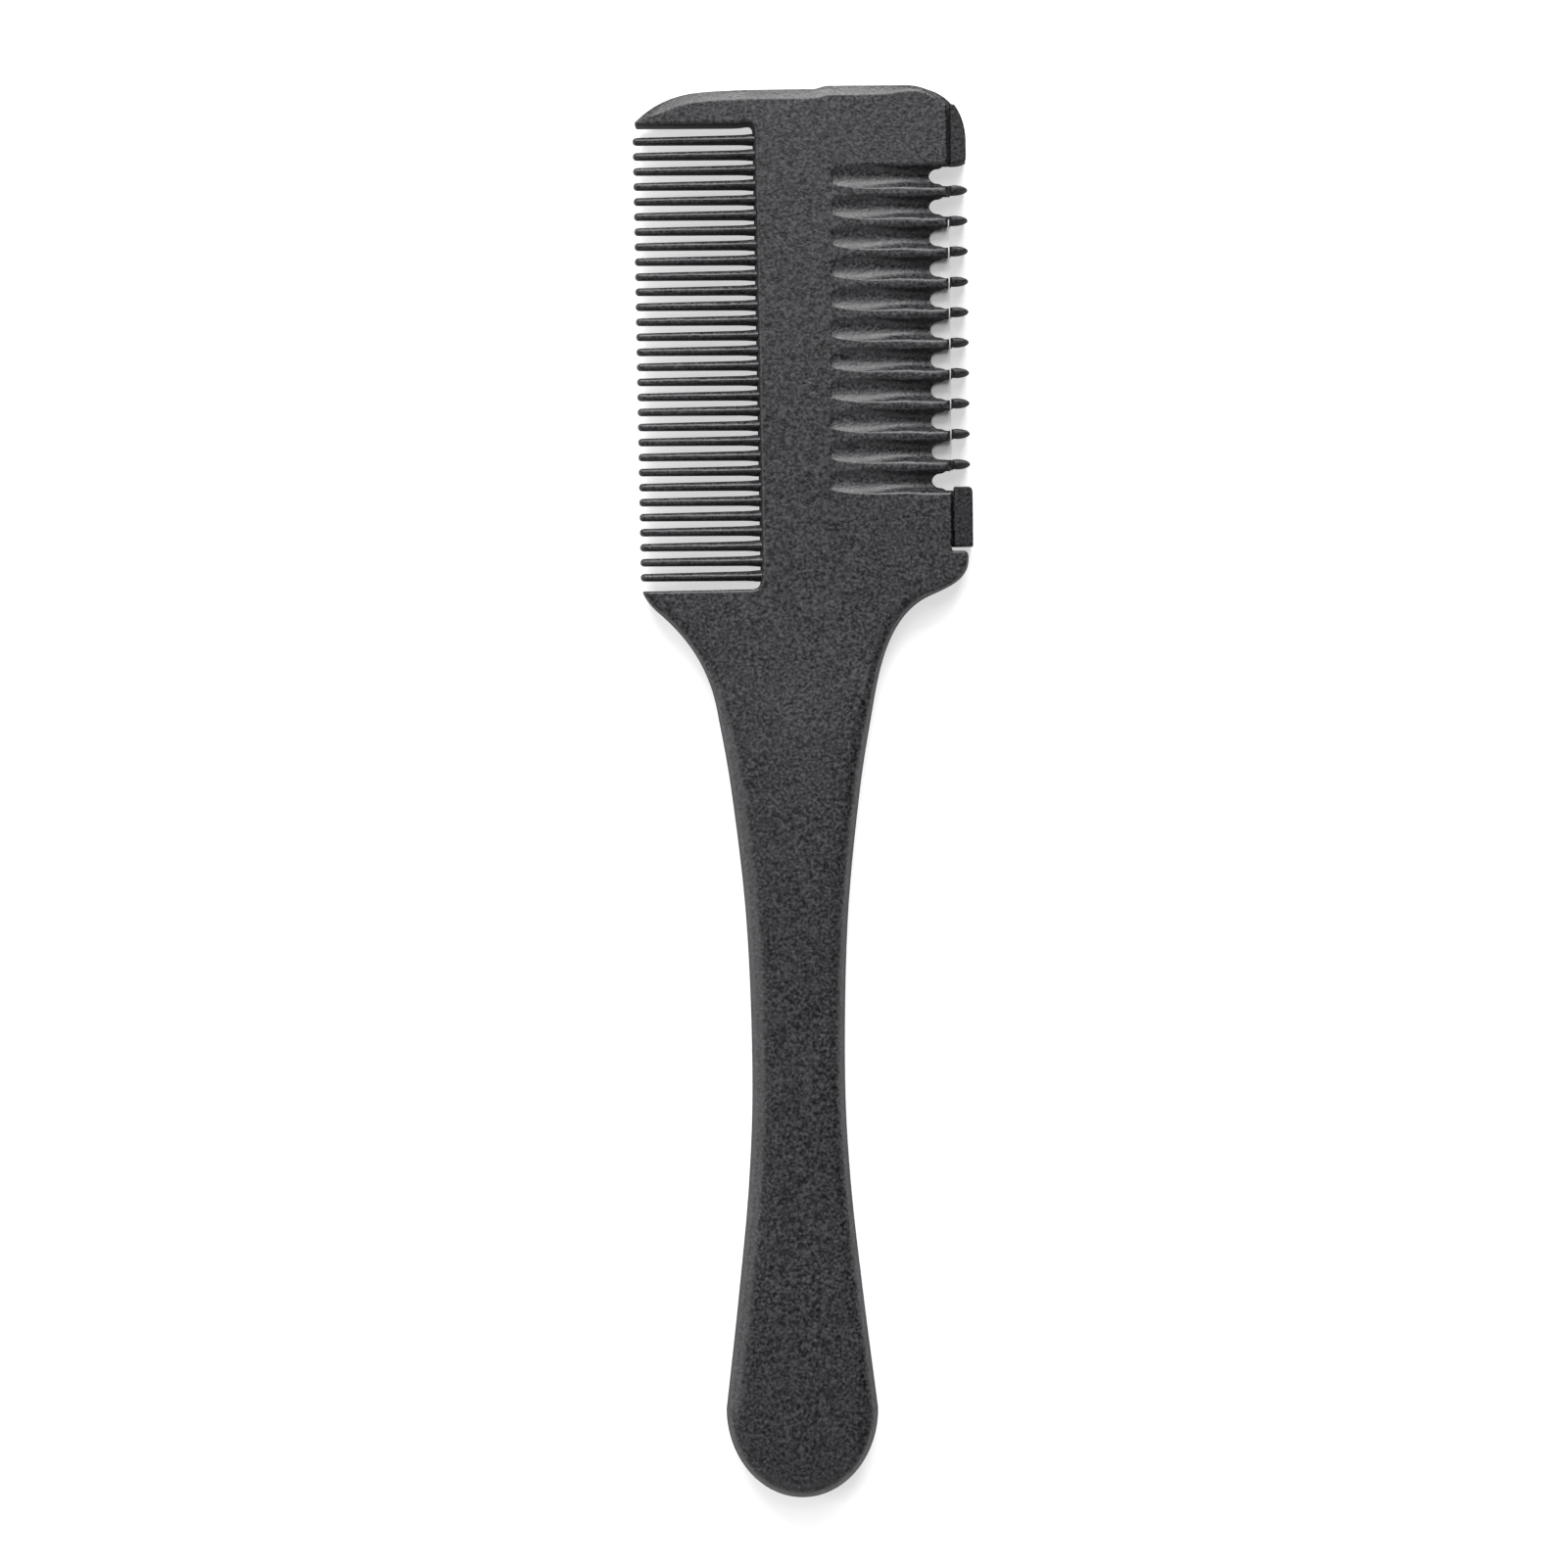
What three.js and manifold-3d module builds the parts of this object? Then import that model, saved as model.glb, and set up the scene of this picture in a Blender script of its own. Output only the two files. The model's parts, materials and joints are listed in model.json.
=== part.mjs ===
// A two-sided hair comb: fine teeth on one side, a guarded razor blade on the other, and a long waisted
// handle. The back of the razor side is a hinged cover that swings open so that the blade can be changed.
// Millimetres. The comb lies on its back on z = 0, with the handle towards -Y and the fine teeth towards -X.
import * as THREE from "three";
import { mergeVertices } from "three/addons/utils/BufferGeometryUtils.js";
import Module from "manifold-3d";

const wasm = await Module();
wasm.setup();
const { lerp, smoothstep } = THREE.MathUtils;

// Overall
const HEAD_THICK = 6;
const HANDLE_THICK = 7;
const HANDLE_END_Y = -109.85;
const HEAD_TOP_Y = 109.35;
const SHELL_TOP_Y = 109.85; // the top edge over the razor side, level with the cover
const NECK_Y = 28; // where the flat head takes over from the rounded handle

// Handle: half width at stations along its length, about its own centre line
const HANDLE_X = -1.93;
const HANDLE_STATIONS = [
  [-96, 11.82],
  [-78, 9.68],
  [-60, 7.88],
  [-43, 7.23],
  [-20, 7.9],
  [0, 9.98],
  [12, 11.95],
];
const BULB_Y = -96; // widest place; beyond it the end is half an ellipse
const HANDLE_EDGE_WIDE = 3.4; // how far in the rounding of the handle's edges reaches
const HANDLE_EDGE_HIGH = 2.6;

// Fine comb
const FINE_TEETH = 30;
const FINE_PITCH = 2.345;
const FINE_FIRST_Y = 101.84;
const FINE_TIP_X = [-26.3, -25.76]; // at the first and at the last tooth
const FINE_ROOT_X = [-7.6, -7.05];
const FINE_HALF_WIDTH = [0.6, 0.8]; // at the tip and at the root
const FINE_SAG = 0.12; // how much nearer the handle the tips lie than the roots
const FINE_HALF_THICK = [0.8, 2];
const FINE_RIDGE = 0.5; // half width of the ridge along each face, as a share of the tooth's
const BAR_EDGE_Y = [103.9, 31.7]; // the edges of the two end bars that face the teeth
const BAR_TIP = 0.43; // rounding of the upper bar's tip
const BAR_TIP_TURN = THREE.MathUtils.degToRad(133);
const PARTING_Z = 3; // middle of the head's thickness

// Razor side, front shell
const SEAM_X = [22.76, 22.68]; // the shell's edge at the seam, at its lower and at its upper end
const SEAM_Y = [40, 106];
const SHELL_INNER_Z = 3.1;
const SHOULDER_Y = 37.34;

// Guard teeth, the notches between them and the scooped grooves that lead into the notches
const GUARD_TEETH = 10;
const GUARD_PITCH = 4.748;
const GUARD_FIRST_Y = 93.63;
const SHELL_LAG = 0.36; // the cover sits this much nearer the top than the shell's own teeth
const GUARD_TIP_X = 25.85;
const NOTCH_END_X = 19.85;
const NOTCH_HALF = [1.28, 1.66, 1.7]; // half width at the round end, at the seam and at the mouth
const NUB_HALF = 0.8;
const NUB_NOSE = 2.1; // length of the rounded nose
const NUB_ROOT = 0.4; // how far a nub reaches back into its rib
const NUB_TOP_Z = 5.15;
const SCOOP_START_X = [4.6, 3.8]; // at the first and at the last groove
const SCOOP_DISH = [0.82, 0.35]; // depth and power of the shallow dish a groove starts as
const SCOOP_DIVE = [1.3, 2.5]; // depth and power of its dive towards the notch
const SCOOP_RADIUS = [3.3, 1.5]; // in the dish and at the notch
const SCOOP_NARROWS = [0.22, 0.8];

// Blade cover
const SEAM_GAP = 0.5;
const RIM_TOP_Z = 5.25;
const COVER_TOP_Y = 109.95;
const COVER_END_Y = 38.1;
const COVER_INNER_Z = 2.9;
const BLOCK_RIM_Y = 98.04; // lower end of the full-height rim above the guard teeth
const BLOCK_TOP_Y = 106.9;
const BLOCK_X = 25.6;
const STRIP_X = 26.1;
const STRIP_TOP_Y = 47.3;

// Hinge
const PIN_X = -1.42;
const PIN_Z = 1.6;
const PIN_RADIUS = 0.7;
const PIN_END_Y = 35.9;
const PIN_HEAD = { radius: 1.1, from: 109.35, to: 109.75, rounding: 0.2 };
const PIN_CLEARANCE = 0.05; // the pin is a drive fit in the shell and loose in the cover
const BORE_RADIUS = 0.85;
const KNUCKLE_RADIUS = 1.6;
const KNUCKLE_GAP = 0.3;
const KNUCKLE_SPAN = [COVER_END_Y, 102.3]; // cover and shell knuckles take turns over this length
const KNUCKLES = 5;
const SWING_END_Y = [COVER_END_Y - 0.76, COVER_TOP_Y + 2.5]; // how far the room for the swing reaches
const OPEN_ANGLE = THREE.MathUtils.degToRad(120);

// Double-edge blade
const BLADE = { width: 22.1, length: 43, edge: 37.4, tab: 15.6, bevel: 0.8, thick: 0.1 };
const BLADE_EDGE_X = 22.97;
const BLADE_Y = 70.35;
const BLADE_SLOT = { length: 34, width: 2.6, hole: 2.5, reach: 13.8 };
const PEG = { radius: 2.2, bottom: 2.45 };
const SOCKET = { radius: 2.55, floor: 2.3 };

// Latch: a bead on the cover's rim that sits in a groove of the shell's edge
const LATCH = { y: [40.5, 46], z: 4, bead: 0.3, groove: 0.5, deep: 0.35, spare: 0.4 };

const CURVE_STEPS = 6;
const ROUND_SIDES = 20;
const CORNER_STEPS = 4;
const SOCKET_Y = [BLADE_Y - BLADE_SLOT.reach, BLADE_Y + BLADE_SLOT.reach];
const BLADE_X = BLADE_EDGE_X - BLADE.width / 2;
const BLADE_Z = (SHELL_INNER_Z + COVER_INNER_Z) / 2;

// Where the shell's edge lies at the seam, and where the cover's rim begins beyond it
const seamX = (y) => lerp(SEAM_X[0], SEAM_X[1], (y - SEAM_Y[0]) / (SEAM_Y[1] - SEAM_Y[0]));
const rimX = (y) => seamX(y) + SEAM_GAP;

const v2 = (x, y) => new THREE.Vector2(x, y);
const v3 = (x, y, z) => new THREE.Vector3(x, y, z);

// ---- Solids -------------------------------------------------------------------------------------

function solid(source) {
  const plain = source.clone();
  plain.deleteAttribute("normal");
  plain.deleteAttribute("uv");
  const merged = mergeVertices(plain, 1e-4);
  return new wasm.Manifold(
    new wasm.Mesh({
      numProp: 3,
      vertProperties: merged.attributes.position.array,
      triVerts: new Uint32Array(merged.index.array),
    }),
  );
}

function geometry(body) {
  const mesh = body.getMesh();
  const made = new THREE.BufferGeometry();
  made.setAttribute("position", new THREE.BufferAttribute(mesh.vertProperties, 3));
  made.setIndex(new THREE.BufferAttribute(mesh.triVerts, 1));
  made.computeVertexNormals();
  return made;
}

function box(x, y, z) {
  const made = new THREE.BoxGeometry(x[1] - x[0], y[1] - y[0], z[1] - z[0]);
  made.translate((x[0] + x[1]) / 2, (y[0] + y[1]) / 2, (z[0] + z[1]) / 2);
  return solid(made);
}

// A plate with the given outline between two heights
function plate(outline, z) {
  const made = new THREE.ExtrudeGeometry(outline, {
    depth: z[1] - z[0],
    bevelEnabled: false,
    curveSegments: CURVE_STEPS,
  });
  made.translate(0, 0, z[0]);
  return solid(made);
}

// A round bar along Y on the hinge line
function hingeBar(radius, y) {
  const made = new THREE.CylinderGeometry(radius, radius, y[1] - y[0], ROUND_SIDES);
  made.translate(PIN_X, (y[0] + y[1]) / 2, PIN_Z);
  return solid(made);
}

function post(radius, x, y, z) {
  const made = new THREE.CylinderGeometry(radius, radius, z[1] - z[0], ROUND_SIDES);
  made.rotateX(Math.PI / 2);
  made.translate(x, y, (z[0] + z[1]) / 2);
  return solid(made);
}

// Skins rings of equal length into one closed body. Each ring is convex and runs clockwise as seen
// from the first ring, looking towards the last.
function loft(rings) {
  const count = rings[0].length;
  const points = rings.flat();
  const index = [];
  for (let ring = 0; ring + 1 < rings.length; ring++) {
    for (let i = 0; i < count; i++) {
      const a = ring * count + i;
      const b = ring * count + ((i + 1) % count);
      index.push(a, b, b + count, a, b + count, a + count);
    }
  }
  const last = points.length - count;
  for (let i = 1; i + 1 < count; i++) {
    index.push(0, i + 1, i, last, last + i, last + i + 1);
  }
  const made = new THREE.BufferGeometry().setFromPoints(points);
  made.setIndex(index);
  return solid(made);
}

// ---- Outlines -----------------------------------------------------------------------------------

const handleHalf = new THREE.SplineCurve(HANDLE_STATIONS.map(([y, half]) => v2(y, half)));
const leftShoulder = new THREE.CurvePath();
leftShoulder.add(
  new THREE.CubicBezierCurve(v2(HANDLE_X - 11.95, 12), v2(-15, 19.2), v2(-18.3, 24.2), v2(-23.3, 28.45)),
);
leftShoulder.add(new THREE.QuadraticBezierCurve(v2(-23.3, 28.45), v2(-24.85, 29.96), v2(-25.35, 31.14)));
const rightShoulder = new THREE.CurvePath();
rightShoulder.add(
  new THREE.CubicBezierCurve(v2(HANDLE_X + 11.95, 12), v2(11.1, 18), v2(12.4, 27.4), v2(19.4, 30.5)),
);
rightShoulder.add(
  new THREE.CubicBezierCurve(v2(19.4, 30.5), v2(22.8, 32), v2(25.4, 33), v2(25.4, 36.2)),
);

// Reads a curve that climbs in Y as a table of x by y
function edgeByY(curve) {
  const points = curve.getSpacedPoints(80);
  return (y) => {
    const i = Math.max(1, points.findIndex((p) => p.y >= y));
    const [a, b] = [points[i - 1], points[i]];
    return lerp(a.x, b.x, (y - a.y) / (b.y - a.y));
  };
}

const stations = handleHalf.getSpacedPoints(80);

function halfWidth(y) {
  if (y < BULB_Y) {
    const out = (BULB_Y - y) / (BULB_Y - HANDLE_END_Y);
    return HANDLE_STATIONS[0][1] * Math.sqrt(Math.max(0, 1 - out * out));
  }
  const i = Math.max(1, stations.findIndex((p) => p.x >= y));
  const [a, b] = [stations[i - 1], stations[i]];
  return lerp(a.y, b.y, (y - a.x) / (b.x - a.x));
}

const leftEdge = edgeByY(leftShoulder);
const rightEdge = edgeByY(rightShoulder);

// The left and right edges of handle and neck at one place along its length
function edges(y) {
  const top = HANDLE_STATIONS.at(-1)[0];
  if (y <= top) {
    return [HANDLE_X - halfWidth(y), HANDLE_X + halfWidth(y)];
  }
  return [leftEdge(y), rightEdge(y)];
}

// The part of a shoulder above the neck
function above(curve) {
  return curve.getSpacedPoints(24).filter((p) => p.y > NECK_Y + 0.2);
}

function headOutline() {
  const [left, right] = edges(NECK_Y);
  const outline = new THREE.Shape();
  outline.moveTo(right, NECK_Y);
  above(rightShoulder).forEach((p) => outline.lineTo(p.x, p.y));
  outline.quadraticCurveTo(25.4, SHOULDER_Y, 24.6, SHOULDER_Y);
  const edge = seamX(SHOULDER_Y);
  outline.lineTo(edge + 0.4, SHOULDER_Y);
  outline.quadraticCurveTo(edge, SHOULDER_Y, edge, SHOULDER_Y + 0.4);
  outline.lineTo(seamX(106.7), 106.7);
  outline.bezierCurveTo(21, 108.6, 19.4, SHELL_TOP_Y, 16.2, SHELL_TOP_Y);
  outline.lineTo(4.4, SHELL_TOP_Y);
  outline.bezierCurveTo(3.2, SHELL_TOP_Y, 2.9, HEAD_TOP_Y, 1.6, HEAD_TOP_Y);
  outline.lineTo(-7, HEAD_TOP_Y);
  outline.bezierCurveTo(-10, HEAD_TOP_Y - 0.05, -13.5, HEAD_TOP_Y - 0.1, -16.2, 109);
  outline.bezierCurveTo(-20.8, 108.5, -23.6, 106.75, -25.78, 104.64);
  outline.absarc(-25.49, BAR_EDGE_Y[0] + BAR_TIP, BAR_TIP, BAR_TIP_TURN, 1.5 * Math.PI, false);
  outline.lineTo(FINE_ROOT_X[0] - 1.1, BAR_EDGE_Y[0]);
  outline.quadraticCurveTo(FINE_ROOT_X[0], BAR_EDGE_Y[0], FINE_ROOT_X[0], BAR_EDGE_Y[0] - 1.1);
  outline.lineTo(FINE_ROOT_X[1], BAR_EDGE_Y[1] + 1.5);
  outline.quadraticCurveTo(FINE_ROOT_X[1], BAR_EDGE_Y[1], FINE_ROOT_X[1] - 1.5, BAR_EDGE_Y[1]);
  outline.lineTo(-25.07, BAR_EDGE_Y[1] - 0.14);
  outline.quadraticCurveTo(-25.53, BAR_EDGE_Y[1] - 0.14, -25.35, 31.14);
  above(leftShoulder)
    .reverse()
    .forEach((p) => outline.lineTo(p.x, p.y));
  outline.lineTo(left, NECK_Y);
  return outline;
}

// A notch between two guard teeth: round at its inner end and flaring to the seam and its mouth
function notchOutline(y) {
  const [end, seam, mouth] = NOTCH_HALF;
  const centre = NOTCH_END_X + end;
  const outline = new THREE.Shape();
  outline.moveTo(GUARD_TIP_X + 3, y - mouth);
  outline.lineTo(GUARD_TIP_X, y - mouth);
  outline.lineTo(centre + 0.9, y - seam);
  outline.quadraticCurveTo(centre + 0.4, y - end, centre, y - end);
  outline.absarc(centre, y, end, -Math.PI / 2, Math.PI / 2, true);
  outline.quadraticCurveTo(centre + 0.4, y + end, centre + 0.9, y + seam);
  outline.lineTo(GUARD_TIP_X, y + mouth);
  outline.lineTo(GUARD_TIP_X + 3, y + mouth);
  return outline;
}

// ---- Repeated shapes ----------------------------------------------------------------------------

// Many bodies as one
function joined(bodies) {
  return bodies.reduce((sum, body) => sum.add(body));
}

function notchPlaces(lag) {
  const first = GUARD_FIRST_Y + GUARD_PITCH / 2 - lag;
  return Array.from({ length: GUARD_TEETH + 1 }, (_, i) => first - i * GUARD_PITCH);
}

function notches(lag, z) {
  return joined(notchPlaces(lag).map((y) => plate(notchOutline(y), z)));
}

// The cutter of one scooped groove in a face at height z: a round-bottomed channel that narrows as it
// sinks, steeply at first, until it meets the notch. It opens upwards where up is 1 and downwards where
// up is -1.
function scoop(start, y, z, up) {
  const run = NOTCH_END_X - start;
  const steps = 8;
  const arc = 6;
  const rings = [];
  for (let i = 0; i <= steps + 2; i++) {
    const along = (Math.min(i, steps) / steps) ** 1.7;
    const x = start + run * along + Math.max(0, i - steps) * 2.4;
    const narrowed = smoothstep(along, SCOOP_NARROWS[0], SCOOP_NARROWS[1]);
    const radius = lerp(SCOOP_RADIUS[0], SCOOP_RADIUS[1], narrowed);
    const floor = -SCOOP_DISH[0] * along ** SCOOP_DISH[1] - SCOOP_DIVE[0] * along ** SCOOP_DIVE[1];
    const ring = [v3(x, y - radius, z + 4 * up)];
    for (let k = 0; k <= arc; k++) {
      const turn = (Math.PI * k) / arc;
      const height = floor + radius * (1 - Math.sin(turn));
      ring.push(v3(x, y - radius * Math.cos(turn), z + height * up));
    }
    ring.push(v3(x, y + radius, z + 4 * up));
    rings.push(up > 0 ? ring : ring.reverse());
  }
  return loft(rings);
}

function scoops(lag, z, up) {
  return joined(
    notchPlaces(lag).map((y, i) => {
      const start = lerp(SCOOP_START_X[0], SCOOP_START_X[1], i / GUARD_TEETH);
      return scoop(start, y, z, up);
    }),
  );
}

// ---- Comb body ----------------------------------------------------------------------------------

// A rounded rectangle across the handle, clockwise as seen from the handle's end
function handleRing(y, x, z, wide, high) {
  const corners = [
    [x[0] + wide, z[0] + high, Math.PI],
    [x[1] - wide, z[0] + high, 1.5 * Math.PI],
    [x[1] - wide, z[1] - high, 0],
    [x[0] + wide, z[1] - high, 0.5 * Math.PI],
  ];
  const ring = [];
  for (const [cx, cz, from] of corners) {
    for (let i = 0; i <= CORNER_STEPS; i++) {
      const turn = from + (i * Math.PI) / (2 * CORNER_STEPS);
      ring.push(v3(cx + wide * Math.cos(turn), y, cz + high * Math.sin(turn)));
    }
  }
  return ring.reverse();
}

function handle() {
  const places = [];
  for (let i = 1; i <= 10; i++) {
    const turn = (Math.PI / 2) * (i / 10) ** 1.5;
    places.push(lerp(BULB_Y, HANDLE_END_Y, Math.cos(turn)));
  }
  for (let y = BULB_Y + 8; y < 10; y += 8) {
    places.push(y);
  }
  for (let y = 12; y < NECK_Y; y += 2) {
    places.push(y);
  }
  const rings = places.map((y) => {
    const [left, right] = edges(y);
    const square = smoothstep(y, -10, NECK_Y);
    const half = (right - left) / 2;
    const tip = Math.min(1, (y - HANDLE_END_Y) / HANDLE_EDGE_WIDE);
    const sink = HANDLE_EDGE_HIGH * (1 - Math.sqrt(1 - (1 - tip) ** 2));
    const wide = Math.min(lerp(HANDLE_EDGE_WIDE, 0.01, square), half * 0.9);
    const high = lerp(HANDLE_EDGE_HIGH, 0.01, square) - sink * 0.5;
    const top = lerp(HANDLE_THICK, HEAD_THICK, square);
    return handleRing(y, [left, right], [sink, top - sink], wide, high);
  });
  const [left, right] = edges(NECK_Y);
  rings.push(handleRing(NECK_Y, [left, right], [0, HEAD_THICK], 0.01, 0.01));
  rings.push(handleRing(NECK_Y + 1, [left + 1, right - 1], [0.3, HEAD_THICK - 0.3], 0.01, 0.01));
  return loft(rings);
}

// One fine tooth: thick and wide at its root, with a ridge along each face and a rounded tip
function fineTooth(y, tip, root) {
  const reach = root + 1 - tip;
  const rings = [0, 0.015, 0.05, 0.3, 1].map((along) => {
    const round = Math.sqrt(1 - (1 - Math.min(1, 0.12 + along / 0.05)) ** 2);
    const half = lerp(FINE_HALF_WIDTH[0], FINE_HALF_WIDTH[1], along) * round;
    const thick = lerp(FINE_HALF_THICK[0], FINE_HALF_THICK[1], along) * round;
    const x = tip + reach * along;
    const middle = y - FINE_SAG * (1 - along);
    const ridge = half * FINE_RIDGE;
    return [
      v3(x, middle - half, PARTING_Z),
      v3(x, middle - ridge, PARTING_Z - thick),
      v3(x, middle + ridge, PARTING_Z - thick),
      v3(x, middle + half, PARTING_Z),
      v3(x, middle + ridge, PARTING_Z + thick),
      v3(x, middle - ridge, PARTING_Z + thick),
    ];
  });
  return loft(rings);
}

function fineComb() {
  const teeth = [];
  for (let i = 0; i < FINE_TEETH; i++) {
    const down = i / (FINE_TEETH - 1);
    const tip = lerp(FINE_TIP_X[0], FINE_TIP_X[1], down);
    const root = lerp(FINE_ROOT_X[0], FINE_ROOT_X[1], down);
    teeth.push(fineTooth(FINE_FIRST_Y - i * FINE_PITCH, tip, root));
  }
  return joined(teeth);
}

function knuckleSpans(ofCover) {
  const step = (KNUCKLE_SPAN[1] - KNUCKLE_SPAN[0]) / KNUCKLES;
  const spans = [];
  for (let i = 0; i < KNUCKLES; i++) {
    const from = KNUCKLE_SPAN[0] + i * step;
    if ((i % 2 === 0) === ofCover) {
      spans.push([from, from + step]);
    }
  }
  return spans;
}

// The room that the cover's back face sweeps through beside the hinge as it swings open
function swingRelief() {
  const reach = KNUCKLE_RADIUS + KNUCKLE_GAP;
  const foot = v2(-Math.sin(OPEN_ANGLE), -Math.cos(OPEN_ANGLE)).multiplyScalar(reach);
  const down = v2(Math.cos(OPEN_ANGLE), -Math.sin(OPEN_ANGLE));
  const low = foot.clone().addScaledVector(down, (PIN_Z + foot.y + 1) / -down.y);
  const outline = new THREE.Shape([v2(0, 0), foot, low, v2(reach, low.y), v2(reach, 0)]);
  const [from, to] = SWING_END_Y;
  const made = new THREE.ExtrudeGeometry(outline, { depth: to - from, bevelEnabled: false });
  made.rotateX(Math.PI / 2);
  made.translate(PIN_X, to, PIN_Z);
  return solid(made);
}

function combBody() {
  let body = plate(headOutline(), [0, HEAD_THICK]).add(handle()).add(fineComb());

  // pocket for the cover, the room for its swing, and the channel in which its knuckles turn
  const right = PIN_X + KNUCKLE_RADIUS;
  body = body.subtract(box([right, 40], [SHOULDER_Y, 115], [-2, SHELL_INNER_Z]));
  let room = swingRelief();
  const ears = knuckleSpans(false);
  ears.push([KNUCKLE_SPAN[1], HEAD_TOP_Y]);
  for (const [from, to] of ears) {
    room = room.subtract(hingeBar(KNUCKLE_RADIUS, [from, to]));
  }
  body = body.subtract(room);
  for (const [from, to] of knuckleSpans(true)) {
    const length = [from - KNUCKLE_GAP, to];
    body = body.subtract(hingeBar(KNUCKLE_RADIUS + KNUCKLE_GAP, length));
    body = body.subtract(box([PIN_X, right + 0.1], length, [-2, SHELL_INNER_Z]));
  }
  body = body.subtract(hingeBar(PIN_RADIUS + PIN_CLEARANCE, [PIN_END_Y - KNUCKLE_GAP, 120]));

  // grooves, notches, latch groove, and the pegs that hold the blade
  body = body.subtract(scoops(SHELL_LAG, HEAD_THICK, 1));
  body = body.subtract(notches(SHELL_LAG, [-1, HEAD_THICK + 1]));
  const edge = seamX(SEAM_Y[0]);
  body = body.subtract(
    box(
      [edge - LATCH.deep, edge + 1],
      [LATCH.y[0] - LATCH.spare, LATCH.y[1] + LATCH.spare],
      [LATCH.z - LATCH.groove, LATCH.z + LATCH.groove],
    ),
  );
  for (const y of SOCKET_Y) {
    body = body.add(post(PEG.radius, BLADE_X, y, [PEG.bottom, SHELL_INNER_Z + 0.4]));
  }
  return geometry(body);
}

// ---- Blade cover --------------------------------------------------------------------------------

function coverOutline() {
  const left = PIN_X + KNUCKLE_RADIUS + KNUCKLE_GAP;
  const outline = new THREE.Shape();
  outline.moveTo(left, COVER_END_Y);
  outline.lineTo(STRIP_X, COVER_END_Y);
  outline.lineTo(STRIP_X, STRIP_TOP_Y - 1);
  outline.quadraticCurveTo(STRIP_X, STRIP_TOP_Y, STRIP_X - 0.8, STRIP_TOP_Y);
  outline.lineTo(rimX(STRIP_TOP_Y), STRIP_TOP_Y);
  outline.lineTo(rimX(BLOCK_RIM_Y), BLOCK_RIM_Y - 0.5);
  outline.lineTo(BLOCK_X, BLOCK_RIM_Y);
  outline.lineTo(BLOCK_X, 101);
  outline.bezierCurveTo(BLOCK_X, 105.7, 22.9, 109.7, 17.5, COVER_TOP_Y - 0.05);
  outline.lineTo(left + 3.5, COVER_TOP_Y);
  outline.quadraticCurveTo(left, COVER_TOP_Y, left, COVER_TOP_Y - 4);
  return outline;
}

// The part of the cover's outline that lies beyond the seam
function rimOutline() {
  return new THREE.Shape([
    v2(rimX(0), 0),
    v2(40, 0),
    v2(40, BLOCK_TOP_Y),
    v2(rimX(BLOCK_TOP_Y), BLOCK_TOP_Y),
  ]);
}

// A guard tooth's tip in front of the blade's edge: parallel sides and a long round nose
function nubOutline(y, back) {
  const outline = new THREE.Shape();
  outline.moveTo(back, y - NUB_HALF);
  outline.absellipse(
    GUARD_TIP_X - NUB_NOSE, y, NUB_NOSE, NUB_HALF, -Math.PI / 2, Math.PI / 2, false,
  );
  outline.lineTo(back, y + NUB_HALF);
  return outline;
}

function bladeCover() {
  let cover = plate(coverOutline(), [0, COVER_INNER_Z]);
  cover = cover.subtract(notches(0, [-1, HEAD_THICK]));
  cover = cover.subtract(scoops(0, 0, -1));

  // full-height rim above and below the guard teeth, and the tips of the guard teeth
  const high = [0, RIM_TOP_Z];
  const rim = plate(coverOutline(), high).intersect(plate(rimOutline(), high));
  const besideTeeth = box([0, 40], [STRIP_TOP_Y, BLOCK_RIM_Y - 0.5], high);
  cover = cover.add(rim.subtract(besideTeeth));
  for (let i = 0; i < GUARD_TEETH; i++) {
    const y = GUARD_FIRST_Y - i * GUARD_PITCH;
    cover = cover.add(plate(nubOutline(y, rimX(y) - NUB_ROOT), [0, COVER_INNER_Z]));
    cover = cover.add(plate(nubOutline(y, rimX(y)), [0, NUB_TOP_Z]));
  }

  // knuckles with the webs that carry them
  for (const [from, to] of knuckleSpans(true)) {
    const end = to - KNUCKLE_GAP;
    cover = cover.add(hingeBar(KNUCKLE_RADIUS, [from, end]));
    cover = cover.add(
      box([PIN_X, PIN_X + KNUCKLE_RADIUS + 1], [from, end], [0, COVER_INNER_Z]),
    );
  }
  cover = cover.subtract(hingeBar(BORE_RADIUS, [0, 120]));

  // sockets for the blade's pegs, and the latch bead
  for (const y of SOCKET_Y) {
    cover = cover.subtract(post(SOCKET.radius, BLADE_X, y, [SOCKET.floor, HEAD_THICK]));
  }
  const bead = new THREE.CylinderGeometry(LATCH.bead, LATCH.bead, LATCH.y[1] - LATCH.y[0], 12);
  bead.translate(rimX(SEAM_Y[0]), (LATCH.y[0] + LATCH.y[1]) / 2, LATCH.z);
  return geometry(cover.add(solid(bead)));
}

// ---- Hinge pin and blade ------------------------------------------------------------------------

function hingePin() {
  const head = new THREE.LatheGeometry(
    [
      v2(0, PIN_HEAD.from),
      v2(PIN_HEAD.radius, PIN_HEAD.from),
      v2(PIN_HEAD.radius, PIN_HEAD.to - PIN_HEAD.rounding),
      v2(PIN_HEAD.radius - PIN_HEAD.rounding, PIN_HEAD.to),
      v2(0, PIN_HEAD.to),
    ],
    ROUND_SIDES,
  );
  head.translate(PIN_X, 0, PIN_Z);
  return geometry(solid(head).add(hingeBar(PIN_RADIUS, [PIN_END_Y, PIN_HEAD.from + 0.2])));
}

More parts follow.
